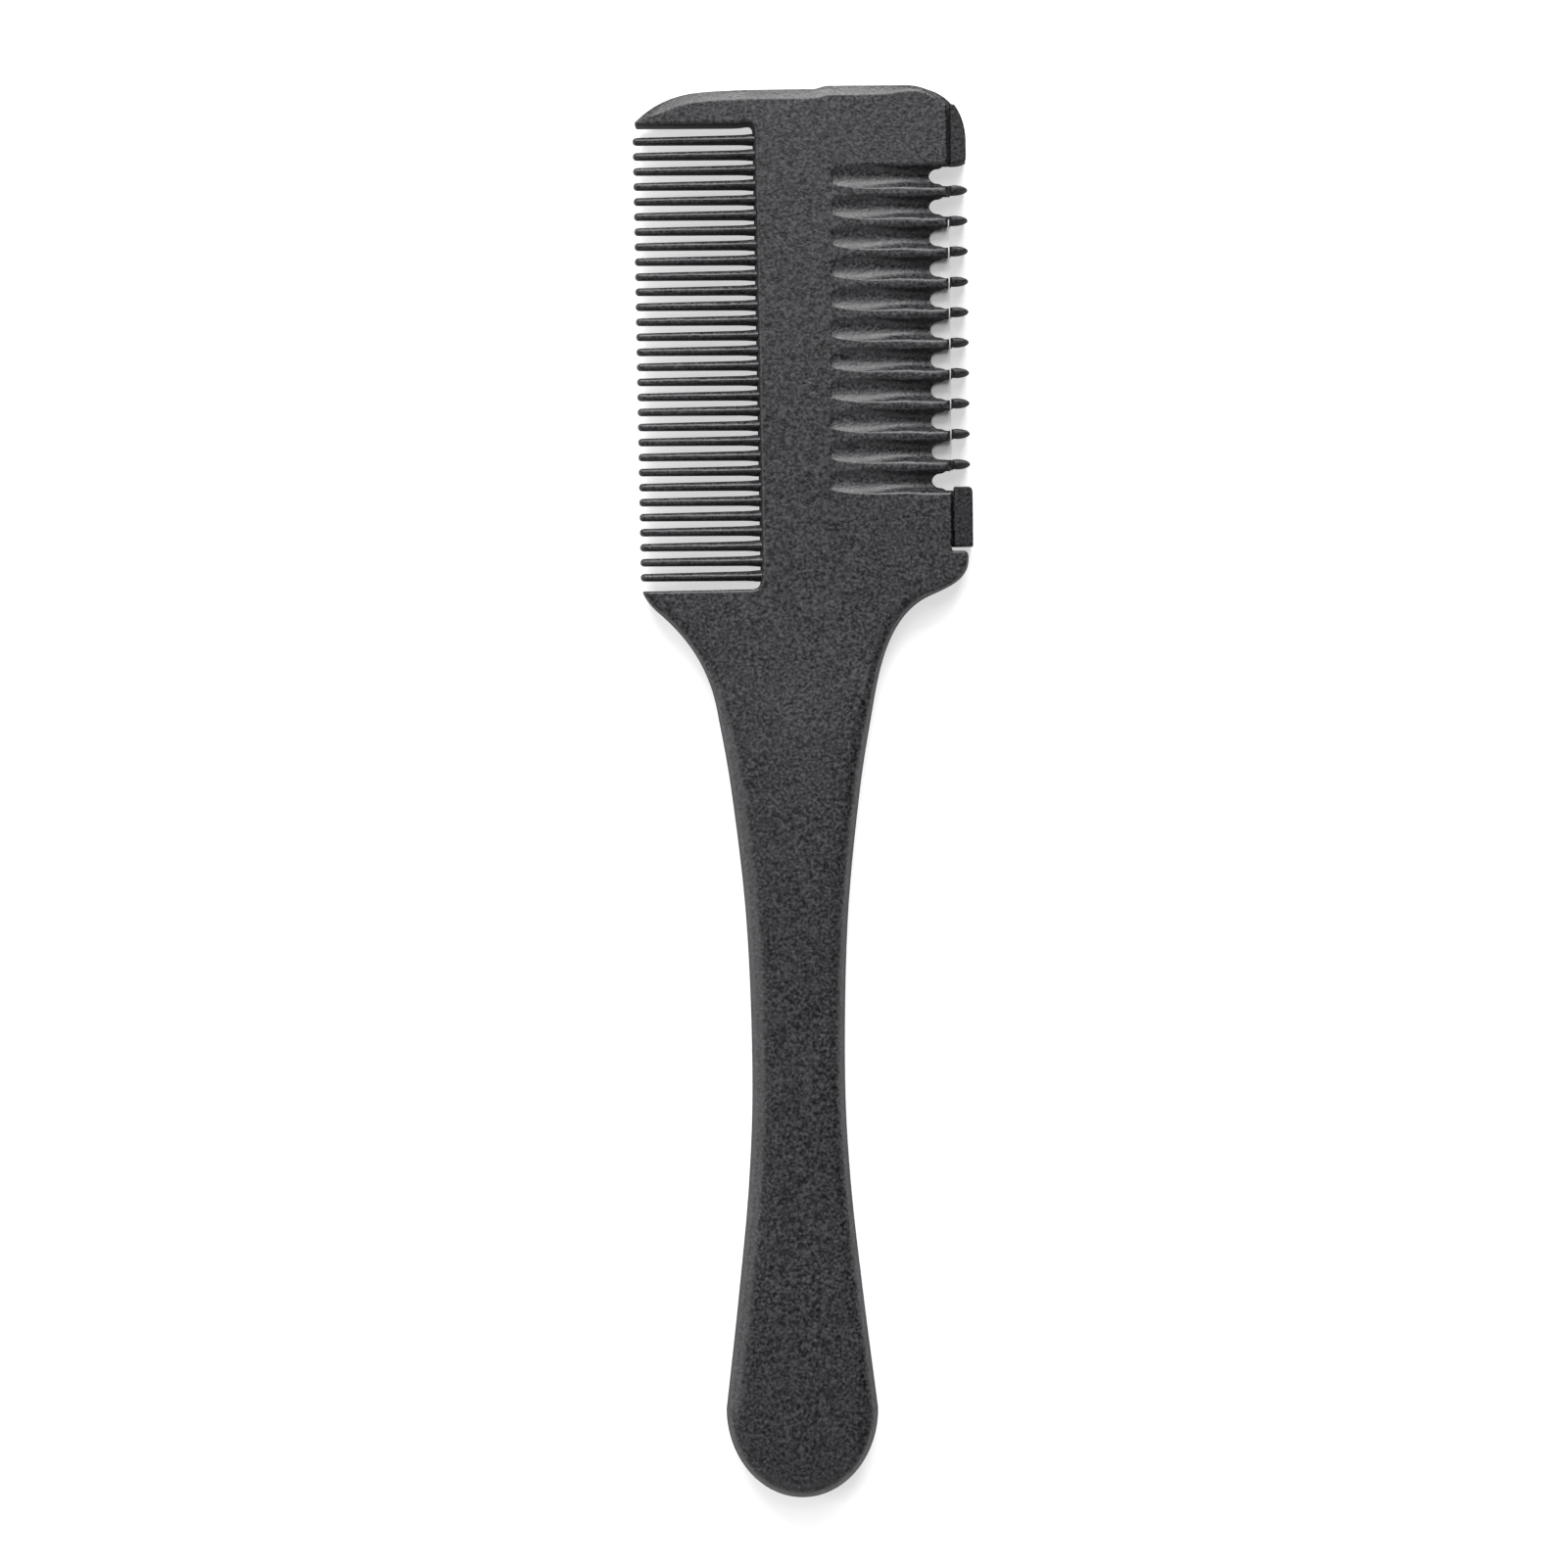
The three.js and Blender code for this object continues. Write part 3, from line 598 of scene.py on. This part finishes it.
def edge_finish():
    """The body's outline and the finish of its edge at each point, blended where it changes."""
    points, styles = thinned(*body_path().closed())
    y = points[:, 1]
    crisp, soft = (along_smoothed(points, styles, blur) for blur in FINISH_BLUR)
    styles = lerp(crisp, soft, smoothstep(y, *TOP_EDGE_Y)[:, None])
    square = smoothstep(y, *SQUARING_Y)[:, None]
    near_handle = y < CROWNING_Y[1]
    styles[near_handle, :2] = lerp(HANDLE_ROUND, styles[:, :2], square)[near_handle]
    return points, styles


def comb_rings():
    """Rings of the comb's plate, from the back's face round the outline to the front's face."""
    points, styles = edge_finish()
    room = 0.85 * room_inside(points)
    high, bevel, draft = styles[:, 1], styles[:, 3], np.minimum(styles[:, 2], 0.4 * room)
    wide = np.minimum(styles[:, 0], room - draft)
    normal = inward(points)
    steps = 9
    upper = []
    for i in range(steps + 1):
        t = i / steps
        turn = math.pi / 2 * t
        flat = points + normal * (draft + wide * lerp(1 - math.cos(turn), t, bevel))[:, None]
        face, top = face_height(flat[:, 0], flat[:, 1])
        upper.append((flat, face - high * lerp(1 - math.sin(turn), 1 - t, bevel), top))
    flat = upper[-1][0] + normal * np.minimum(0.15, 0.1 * room)[:, None]
    upper.append((flat, *face_height(flat[:, 0], flat[:, 1])))
    rings = [np.column_stack([flat, top - z]) for flat, z, top in upper[::-1]]
    middle = face_height(points[:, 0], points[:, 1])[1] / 2
    rings.append(np.column_stack([points, middle]))
    return rings + [np.column_stack([flat, z]) for flat, z, _ in upper]


def comb_slab():
    """Handle, neck and head as one plate whose crowned faces have points of their own."""
    rings = comb_rings()
    count = len(rings[0])
    verts = list(np.concatenate(rings))
    faces = skin_faces(len(rings), count)
    ring = rings[-1][:, :2]
    grid = []
    for y in np.arange(-108.5, 109, FACE_STEP):
        for x in np.arange(-25, 25, FACE_STEP):
            if inside(ring, x, y, FACE_MARGIN):
                grid.append((x, y))
    flat = [tuple(p) for p in ring] + grid
    made = delaunay_2d_cdt([Vector(p) for p in flat], [], [list(range(count))], 1, 1e-7)
    assert len(made[0]) == len(flat), "the outline's inner ring crosses itself"
    inner = np.array(grid)
    face, top = face_height(inner[:, 0], inner[:, 1])
    low_start, high_start = len(verts), len(verts) + len(grid)
    verts += list(np.column_stack([inner, top - face]))
    verts += list(np.column_stack([inner, face]))
    last = (len(rings) - 1) * count
    for tri in made[2]:
        faces.append([i + last if i < count else i - count + high_start for i in tri])
        faces.append([i if i < count else i - count + low_start for i in tri][::-1])
    return mesh_object("comb_body_look", verts, faces)


def inside(ring, x, y, margin):
    """Whether a point lies inside an outline, at least margin from it."""
    ax, ay = ring[:, 0], ring[:, 1]
    bx, by = np.roll(ax, -1), np.roll(ay, -1)
    if np.min(np.hypot(ax - x, ay - y)) < margin:
        return False
    spans = (ay > y) != (by > y)
    cross = (bx[spans] - ax[spans]) * (y - ay[spans]) / (by[spans] - ay[spans]) + ax[spans]
    return np.count_nonzero(cross > x) % 2 == 1


def fine_tooth(y, tip, root):
    """A tapering tooth of rounded diamond section that flares a little where it grows out of the spine."""
    reach = root + FINE_SUNK - tip
    turns = np.linspace(0, 2 * math.pi, 20, endpoint=False)
    places = [0.012, 0.05, 0.13, 0.25, 0.42, 0.62, 1.2, 3, 6, 9, 12, 15, 16.4, 17.4, 18.0, 18.5, reach]
    rings = []
    for place in places:
        along = place / reach
        power = 2 / lerp(*FINE_SQUARE, along)
        across = np.sign(np.cos(turns)) * np.abs(np.cos(turns)) ** power
        rise = np.sign(np.sin(turns)) * np.abs(np.sin(turns)) ** power
        end = math.sqrt(1 - (1 - min(1, place / FINE_NOSE)) ** 2)
        flare = FINE_FLARE * float(smoothstep(place, reach - 3.2, reach - 1.1))
        half = (lerp(*FINE_HALF_WIDTH, along) + flare) * end
        thick = lerp(*FINE_HALF_THICK, along) * end
        x = np.full(len(turns), tip + place)
        middle = y - FINE_SAG * (1 - along)
        rings.append(np.column_stack([x, middle + half * across, PARTING_Z + thick * rise]))
    return loft("tooth", rings)


def fine_comb():
    made = []
    for i in range(FINE_TEETH):
        down = i / (FINE_TEETH - 1)
        y = FINE_FIRST_Y - i * FINE_PITCH
        made.append(fine_tooth(y, lerp(*FINE_TIP_X, down), lerp(*FINE_ROOT_X, down)))
    return joined("teeth", made)


def swing_relief():
    """The room that the cover's back face sweeps through beside the hinge as it opens."""
    reach = KNUCKLE_RADIUS + KNUCKLE_GAP
    foot = np.array([-math.sin(OPEN_ANGLE), -math.cos(OPEN_ANGLE)]) * reach
    down = np.array([math.cos(OPEN_ANGLE), -math.sin(OPEN_ANGLE)])
    low = foot + down * ((PIN_Z + foot[1] + 1) / -down[1])
    profile = np.array([(0, 0), (reach, 0), (reach, low[1]), low, foot])
    rings = []
    for y in (SHOULDER_Y, COVER_TOP_Y + 2.5):
        rings.append([(PIN_X + px, y, PIN_Z + pz) for px, pz in profile])
    return loft("relief", rings)


def comb_body():
    body = add(comb_slab(), fine_comb())
    right = PIN_X + KNUCKLE_RADIUS
    room = swing_relief()
    for from_y, to_y in [*knuckle_spans(False), (KNUCKLE_SPAN[1], HEAD_TOP_Y)]:
        cut(room, bar(KNUCKLE_RADIUS, (from_y, to_y)))
    cut(body, block((right, FAR_X), (SHOULDER_Y, FAR_Y), (-2, SHELL_INNER_Z)), room)
    for from_y, to_y in knuckle_spans(True):
        length = (from_y - KNUCKLE_GAP, to_y)
        cut(body, bar(KNUCKLE_RADIUS + KNUCKLE_GAP, length))
        cut(body, block((PIN_X, right + 0.1), length, (-2, SHELL_INNER_Z)))
    cut(body, bar(PIN_RADIUS + PIN_CLEARANCE, (PIN_END_Y - 0.3, FAR_Y)))
    cut(body, grooves(SHELL_LAG, 1))
    cut(body, notches(SHELL_LAG, (-1, HEAD_THICK + 1)))
    x = (seam_x(LATCH_EDGE_Y) - LATCH_DEEP, STRIP_X)
    y = (LATCH_Y[0] - LATCH_SPARE, LATCH_Y[1] + LATCH_SPARE)
    cut(body, block(x, y, (LATCH_Z - LATCH_GROOVE, LATCH_Z + LATCH_GROOVE)))
    pegs = []
    for y in (BLADE_Y - PEG_REACH, BLADE_Y + PEG_REACH):
        pegs.append(post(PEG_RADIUS, BLADE_X, y, (PEG_BOTTOM, SHELL_INNER_Z + 0.4)))
    return add(body, joined("pegs", pegs))


# ---- Blade cover --------------------------------------------------------------------------------


def strip_side(path):
    """Round the strip below the guard teeth, from its foot at the seam back to the seam."""
    path.line(STRIP_X, COVER_END_Y)
    path.line(STRIP_X, STRIP_TOP_Y - 1)
    path.curve((STRIP_X, STRIP_TOP_Y), (STRIP_X - 0.8, STRIP_TOP_Y), step=0.1)
    return path.line(rim_x(STRIP_TOP_Y), STRIP_TOP_Y)


def block_side(path):
    """Up the outer side of the rim above the guard teeth and round the cover's top corner."""
    path.line(BLOCK_X, 101)
    return path.curve((BLOCK_X, 105.7), (22.9, 109.7), (17.5, COVER_TOP_Y - 0.05))


def cover_path():
    left = COVER_LEFT_X
    path = strip_side(Path(left, COVER_END_Y))
    path.line(rim_x(BLOCK_RIM_Y), BLOCK_RIM_Y - 0.5)
    path.line(BLOCK_X, BLOCK_RIM_Y)
    block_side(path)
    path.line(left + 3.5, COVER_TOP_Y)
    path.curve((left, COVER_TOP_Y), (left, COVER_TOP_Y - 4))
    path.line(left, COVER_END_Y)
    return path


def rim_block():
    """The full-height rim above the guard teeth."""
    path = Path(rim_x(BLOCK_RIM_Y), BLOCK_RIM_Y - 0.5)
    path.curve((24.6, BLOCK_RIM_Y - 0.5), (25.3, BLOCK_RIM_Y - 0.2), step=0.2)
    path.curve((BLOCK_X, BLOCK_RIM_Y), (BLOCK_X, BLOCK_RIM_Y + 0.5), step=0.1)
    whole = outline(block_side(path))
    top = (rim_x(BLOCK_TOP_Y), BLOCK_TOP_Y)
    keep = whole[(whole[:, 1] < BLOCK_TOP_Y) & (whole[:, 0] > top[0] - 1e-6)]
    return slab("rim_block", np.concatenate([keep, [top]]), RIM_FOOT_Z, RIM_TOP_Z, top=0.3)


def rim_strip():
    """The full-height rim below the guard teeth."""
    path = strip_side(Path(rim_x(COVER_END_Y), COVER_END_Y))
    path.line(rim_x(COVER_END_Y), COVER_END_Y)
    return slab("rim_strip", outline(path), RIM_FOOT_Z, RIM_TOP_Z, top=0.22)


def nub_ring(back, y, inset, z):
    """The outline of a guard tooth's tip: parallel sides and a long round nose."""
    half, tip = NUB_HALF - inset, GUARD_TIP_X - inset
    turns = np.linspace(-math.pi / 2, math.pi / 2, 21)
    x = tip + NUB_NOSE * (np.cos(turns) - 1)
    across = half * np.sin(turns)
    x = np.concatenate([[back, back + 0.25], x, [back + 0.25, back]])
    across = np.concatenate([[-0.8 * half, -0.92 * half], across, [0.92 * half, 0.8 * half]])
    return np.column_stack([x, y + across, np.full(len(x), z)])


def nub(y):
    """A guard tooth's tip in front of the blade's edge, slimmer towards both faces."""
    inner = rim_x(y)
    root = inner - NUB_ROOT
    rounding = []
    for turn in (0.0, 0.5, 1.0, 1.57):
        inset = NUB_LEAN + NUB_ROUND * (1 - math.cos(turn))
        rounding.append((inset, NUB_ROUND * (1 - math.sin(turn))))
    foot = [nub_ring(root, y, inset, rise) for inset, rise in rounding[::-1]]
    foot.append(nub_ring(root, y, 0.0, COVER_INNER_Z))
    tops = [nub_ring(inner, y, 0.1, 1.9), nub_ring(inner, y, 0.0, COVER_INNER_Z)]
    for inset, rise in rounding:
        tops.append(nub_ring(inner + inset - NUB_LEAN, y, inset, NUB_TOP_Z - rise))
    return add(loft("nub", foot), loft("nub_top", tops))


def blade_cover():
    cover = slab("blade_cover_look", outline(cover_path()), 0.0, COVER_INNER_Z, top=0.6, bottom=0.45)
    cut(cover, notches(0, (-1, HEAD_THICK)))
    cut(cover, grooves(0, -1))
    add(cover, rim_block(), rim_strip())
    places = [GUARD_FIRST_Y - i * GUARD_PITCH for i in range(GUARD_TEETH)]
    add(cover, joined("nubs", [nub(y) for y in places]))
    for from_y, to_y in knuckle_spans(True):
        end = to_y - KNUCKLE_GAP
        add(cover, bar(KNUCKLE_RADIUS, (from_y, end)))
        add(cover, block((PIN_X, COVER_LEFT_X + 0.7), (from_y, end), (0, COVER_INNER_Z)))
    cut(cover, bar(BORE_RADIUS, (0, FAR_Y)))
    for y in (BLADE_Y - PEG_REACH, BLADE_Y + PEG_REACH):
        cut(cover, post(SOCKET_RADIUS, BLADE_X, y, (SOCKET_FLOOR, HEAD_THICK)))
    return add(cover, bar(LATCH_BEAD, LATCH_Y, rim_x(LATCH_EDGE_Y), LATCH_Z, 24))


# ---- Hinge pin and blade ------------------------------------------------------------------------


def hinge_pin():
    radius, start, end = PIN_HEAD
    profile = [
        (PIN_RADIUS - 0.15, PIN_END_Y),
        (PIN_RADIUS, PIN_END_Y + 0.15),
        (PIN_RADIUS, start),
        (radius - 0.05, start),
        (radius, start + 0.05),
        (radius, end - 0.22),
        (radius - 0.06, end - 0.1),
        (radius - 0.22, end),
    ]
    turns = np.linspace(0, 2 * math.pi, 48, endpoint=False)
    rings = []
    for r, y in profile:
        x = PIN_X + r * np.cos(turns)
        rings.append(np.column_stack([x, np.full(48, y), PIN_Z - r * np.sin(turns)]))
    return loft("hinge_pin_look", rings)


def razor_blade():
    """A thin double-edge blade, ground to a fine edge along both long sides."""
    wide, thick, ground, edge = BLADE_WIDTH / 2, BLADE_THICK / 2, 0.9, 0.004
    x = BLADE_X
    section = [
        (-wide, -edge),
        (ground - wide, -thick),
        (wide - ground, -thick),
        (wide, -edge),
        (wide, edge),
        (wide - ground, thick),
        (ground - wide, thick),
        (-wide, edge),
    ]
    ends = (BLADE_Y - BLADE_EDGE / 2, BLADE_Y + BLADE_EDGE / 2)
    rings = [[(x + px, y, BLADE_Z + pz) for px, pz in section[::-1]] for y in ends]
    blade = loft("razor_blade_look", rings)
    tab = BLADE_TAB / 2
    end = tab - 0.8
    long = BLADE_LENGTH / 2
    path = Path(x - end, BLADE_Y - long)
    path.line(x + end, BLADE_Y - long)
    path.line(x + tab, BLADE_Y - BLADE_EDGE / 2)
    path.line(x + tab, BLADE_Y + BLADE_EDGE / 2)
    path.line(x + end, BLADE_Y + long)
    path.line(x - end, BLADE_Y + long)
    path.line(x - tab, BLADE_Y + BLADE_EDGE / 2)
    path.line(x - tab, BLADE_Y - BLADE_EDGE / 2)
    add(blade, slab("tabs", outline(path), BLADE_Z - thick, BLADE_Z + thick))
    slot = SLOT_LENGTH / 2 - SLOT_WIDTH / 2
    half = SLOT_WIDTH / 2
    through = (BLADE_Z - 1, BLADE_Z + 1)
    cut(blade, block((x - half, x + half), (BLADE_Y - slot, BLADE_Y + slot), through))
    for y in (-slot, slot):
        cut(blade, post(half, x, BLADE_Y + y, through))
    for y in (-PEG_REACH, 0, PEG_REACH):
        cut(blade, post(SLOT_HOLE, x, BLADE_Y + y, through))
    return blade


# ---- Materials ----------------------------------------------------------------------------------


class Nodes:
    """Builds one material's node tree."""

    def __init__(self, name):
        self.material = bpy.data.materials.new(name)
        self.material.use_nodes = True
        self.tree = self.material.node_tree
        self.shader = next(n for n in self.tree.nodes if n.type == "BSDF_PRINCIPLED")
        self.place = self.node("ShaderNodeTexCoord").outputs["Object"]

    def node(self, kind, **values):
        made = self.tree.nodes.new(kind)
        for key, value in values.items():
            if hasattr(made, key):
                setattr(made, key, value)
            else:
                made.inputs[key].default_value = value
        return made

    def link(self, a, b):
        self.tree.links.new(a, b)

    def noise(self, scale, detail=2.0, rough=0.5, stretch=None):
        made = self.node("ShaderNodeTexNoise")
        made.inputs["Scale"].default_value = scale
        made.inputs["Detail"].default_value = detail
        made.inputs["Roughness"].default_value = rough
        place = self.place
        if stretch:
            mapping = self.node("ShaderNodeMapping")
            mapping.inputs["Scale"].default_value = stretch
            self.link(place, mapping.inputs["Vector"])
            place = mapping.outputs["Vector"]
        self.link(place, made.inputs["Vector"])
        return made.outputs["Fac"]

    def spread(self, value, low, high, to_low, to_high):
        made = self.node("ShaderNodeMapRange")
        for name, number in zip(
            ("From Min", "From Max", "To Min", "To Max"), (low, high, to_low, to_high)
        ):
            made.inputs[name].default_value = number
        self.link(value, made.inputs["Value"])
        return made.outputs["Result"]

    def math(self, operation, a, b=0.0):
        made = self.node("ShaderNodeMath")
        made.operation = operation
        for socket, value in zip(made.inputs, (a, b)):
            if isinstance(value, (int, float)):
                socket.default_value = value
            else:
                self.link(value, socket)
        return made.outputs[0]

    def ramp(self, value, low, high):
        """A colour between two others."""
        made = self.node("ShaderNodeMix", data_type="RGBA")
        made.inputs["A"].default_value = (*low, 1)
        made.inputs["B"].default_value = (*high, 1)
        self.link(value, made.inputs["Factor"])
        return made.outputs["Result"]

    def facing_up(self):
        """How far the surface faces straight up or down, from 0 to 1."""
        place = self.node("ShaderNodeTexCoord")
        split = self.node("ShaderNodeSeparateXYZ")
        self.link(place.outputs["Normal"], split.inputs["Vector"])
        return self.math("ABSOLUTE", split.outputs["Z"])

    def bump(self, height, distance, strength=1.0, under=None):
        made = self.node("ShaderNodeBump")
        made.inputs["Distance"].default_value = distance
        made.inputs["Strength"].default_value = strength
        self.link(height, made.inputs["Height"])
        if under:
            self.link(under, made.inputs["Normal"])
        return made.outputs["Normal"]


def plastic(name, dark=(0.0, 0.0, 0.0005), light=(0.085, 0.085, 0.095), shine=0.6):
    """Black moulded plastic with a fine spark-eroded grain, a little cloudiness and handling wear, and
    painted shade that colours its steep walls darker.
    """
    n = Nodes(name)
    grain = n.noise(2100, 1.5, 0.6)
    coarse = n.noise(1000, 2.0, 0.5)
    clouds = n.noise(45, 3.0, 0.55)
    wear = n.noise(160, 4.0, 0.6)
    upright = n.spread(n.facing_up(), 0.12, 0.62, 1.0, 0.0)
    speck = n.math("POWER", n.spread(grain, 0.28, 0.78, 0.0, 1.0), 1.5)
    tone = n.math("ADD", speck, n.spread(coarse, 0.3, 0.7, -0.09, 0.09))
    tone = n.math("MULTIPLY", tone, n.spread(clouds, 0.3, 0.7, 0.86, 1.14))
    # painted shade: the steeper the surface, the darker its colour, down to 0.3 times on upright walls
    tone = n.math("MULTIPLY", tone, n.spread(upright, 0.0, 1.0, 1.0, 0.3))
    n.link(n.ramp(tone, dark, light), n.shader.inputs["Base Color"])
    rough = n.math("ADD", n.spread(grain, 0.35, 0.65, 0.36, 0.48), n.spread(wear, 0.3, 0.7, -0.04, 0.05))
    rough = n.math("ADD", rough, n.spread(upright, 0.0, 1.0, 0.0, 0.5))
    n.link(rough, n.shader.inputs["Roughness"])
    soft = n.bump(coarse, 0.00008, 0.7)
    n.link(n.bump(grain, 0.00006, 0.9, soft), n.shader.inputs["Normal"])
    n.shader.inputs["Specular IOR Level"].default_value = shine
    return n.material


def painted_metal(name):
    """Blackened steel, rubbed a little brighter in places."""
    n = Nodes(name)
    fine = n.noise(1500, 2.0, 0.5)
    wear = n.noise(420, 4.0, 0.65)
    n.link(
        n.ramp(n.spread(wear, 0.5, 0.72, 0.0, 1.0), (0.018, 0.018, 0.02), (0.07, 0.07, 0.075)),
        n.shader.inputs["Base Color"],
    )
    n.link(n.spread(wear, 0.35, 0.7, 0.46, 0.28), n.shader.inputs["Roughness"])
    n.link(n.bump(fine, 0.00001, 0.5), n.shader.inputs["Normal"])
    n.shader.inputs["Metallic"].default_value = 0.6
    return n.material


def blade_steel(name):
    """Rolled steel strip: fine lines along the blade and slight oil staining."""
    n = Nodes(name)
    lines = n.noise(1.0, 3.0, 0.6, stretch=(9000, 220, 9000))
    stain = n.noise(180, 3.0, 0.5)
    n.link(
        n.ramp(n.spread(stain, 0.35, 0.7, 0.0, 1.0), (0.92, 0.92, 0.91), (0.84, 0.84, 0.835)),
        n.shader.inputs["Base Color"],
    )
    n.link(n.spread(lines, 0.3, 0.7, 0.38, 0.5), n.shader.inputs["Roughness"])
    n.link(n.bump(lines, 0.000004, 0.5), n.shader.inputs["Normal"])
    n.shader.inputs["Metallic"].default_value = 0.5
    return n.material


def paper(name):
    """A white sheet that glows a little, so that it stays white in the comb's shade."""
    n = Nodes(name)
    fibre = n.noise(900, 3.0, 0.6)
    n.link(n.ramp(n.noise(6, 2.0), (0.9, 0.9, 0.9), (0.915, 0.915, 0.915)), n.shader.inputs["Base Color"])
    n.link(n.spread(fibre, 0.3, 0.7, 0.78, 0.9), n.shader.inputs["Roughness"])
    n.link(n.bump(fibre, 0.00001, 0.3), n.shader.inputs["Normal"])
    n.shader.inputs["Specular IOR Level"].default_value = 0.2
    n.shader.inputs["Emission Color"].default_value = (1, 1, 1, 1)
    n.shader.inputs["Emission Strength"].default_value = 0.55
    return n.material


# ---- Placing ------------------------------------------------------------------------------------


def finish_mesh(made, angle):
    """Metres, smooth shading with crisp edges, and flat faces that stay flat beside rounded edges."""
    made.data.transform(MM * np.identity(4) + np.diag((0, 0, 0, 1 - MM)))
    mesh = made.data
    mesh.polygons.foreach_set("use_smooth", [True] * len(mesh.polygons))
    mesh.set_sharp_from_angle(angle=math.radians(angle))
    modifier = made.modifiers.new("normals", "WEIGHTED_NORMAL")
    modifier.keep_sharp = True
    modifier.mode = "FACE_AREA"
    modifier.weight = 60
    graph = bpy.context.evaluated_depsgraph_get()
    made.data = bpy.data.meshes.new_from_object(made.evaluated_get(graph))
    made.modifiers.clear()
    made.data.name = made.name
    return made


def place(made, node, body, slot, material, angle=32):
    """Puts a finished piece on its body in place of a node of the frame."""
    finish_mesh(made, angle)
    made.data.materials.clear()
    made.data.materials.append(material)
    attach(made, body)
    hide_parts(node)
    print(made.name, len(made.data.polygons), "faces")


place(comb_body(), "comb_body", "comb", "body_plastic", plastic("body_plastic"))
# painted shade: the cover gets the body's plastic made darker, standing in for the shade that makes it
# look darker than the body
darker = plastic("cover_plastic", light=(0.045, 0.045, 0.052), shine=0.45)
place(blade_cover(), "blade_cover", "cover", "cover_plastic", darker)
place(hinge_pin(), "hinge_pin", "comb", "pin_metal", painted_metal("pin_metal"))
place(razor_blade(), "razor_blade", "comb", "blade_steel", blade_steel("blade_steel"), 12)

# ---- Stage --------------------------------------------------------------------------------------

floor = mesh_object("floor", [(-3, -3, 0), (3, -3, 0), (3, 3, 0), (-3, 3, 0)], [(0, 1, 2, 3)])
floor.location.z = -0.0002
floor.data.materials.append(paper("paper"))

world = bpy.data.worlds.new("studio")
bpy.context.scene.world = world
world.use_nodes = True
world.node_tree.nodes["Background"].inputs["Color"].default_value = (1, 1, 1, 1)
world.node_tree.nodes["Background"].inputs["Strength"].default_value = 0.045


def soft_light(name, place, size, power, aim=(0, 0, 0)):
    light = bpy.data.lights.new(name, "AREA")
    light.shape = "RECTANGLE"
    light.size, light.size_y = size
    light.energy = power
    made = bpy.data.objects.new(name, light)
    bpy.context.scene.collection.objects.link(made)
    made.location = place
    made.rotation_mode = "QUATERNION"
    made.rotation_quaternion = (Vector(aim) - Vector(place)).to_track_quat("-Z", "Y")
    return made


soft_light("overhead", (0.0, 0.95, 1.3), (1.1, 1.1), 10.2, aim=(0, 0.1, 0))
soft_light("key", (-0.05, 1.15, 0.8), (1.2, 0.5), 20.5)
soft_light("side", (-1.1, 0.0, 0.6), (0.5, 0.9), 4.2)
soft_light("fill", (0.0, -1.0, 0.9), (1.6, 1.0), 3.6)

VIEW_WIDE = 244.6  # what the frame shows across, at the height of the comb's middle
VIEW_HIGH = 700.0
VIEW_X, VIEW_Y = -3.74, 1.33
LEAN = math.radians(0.62)
camera = bpy.data.cameras.new("camera")
camera.sensor_width = 36
camera.lens = 36 * VIEW_HIGH / VIEW_WIDE
eye = bpy.data.objects.new("camera", camera)
bpy.context.scene.collection.objects.link(eye)
eye.location = (VIEW_X * MM, VIEW_Y * MM, (VIEW_HIGH + PARTING_Z) * MM)
eye.rotation_euler = (0, 0, -LEAN)
camera.clip_start, camera.clip_end = 0.01, 20
bpy.context.scene.camera = eye
bpy.context.scene.view_settings.view_transform = "Standard"
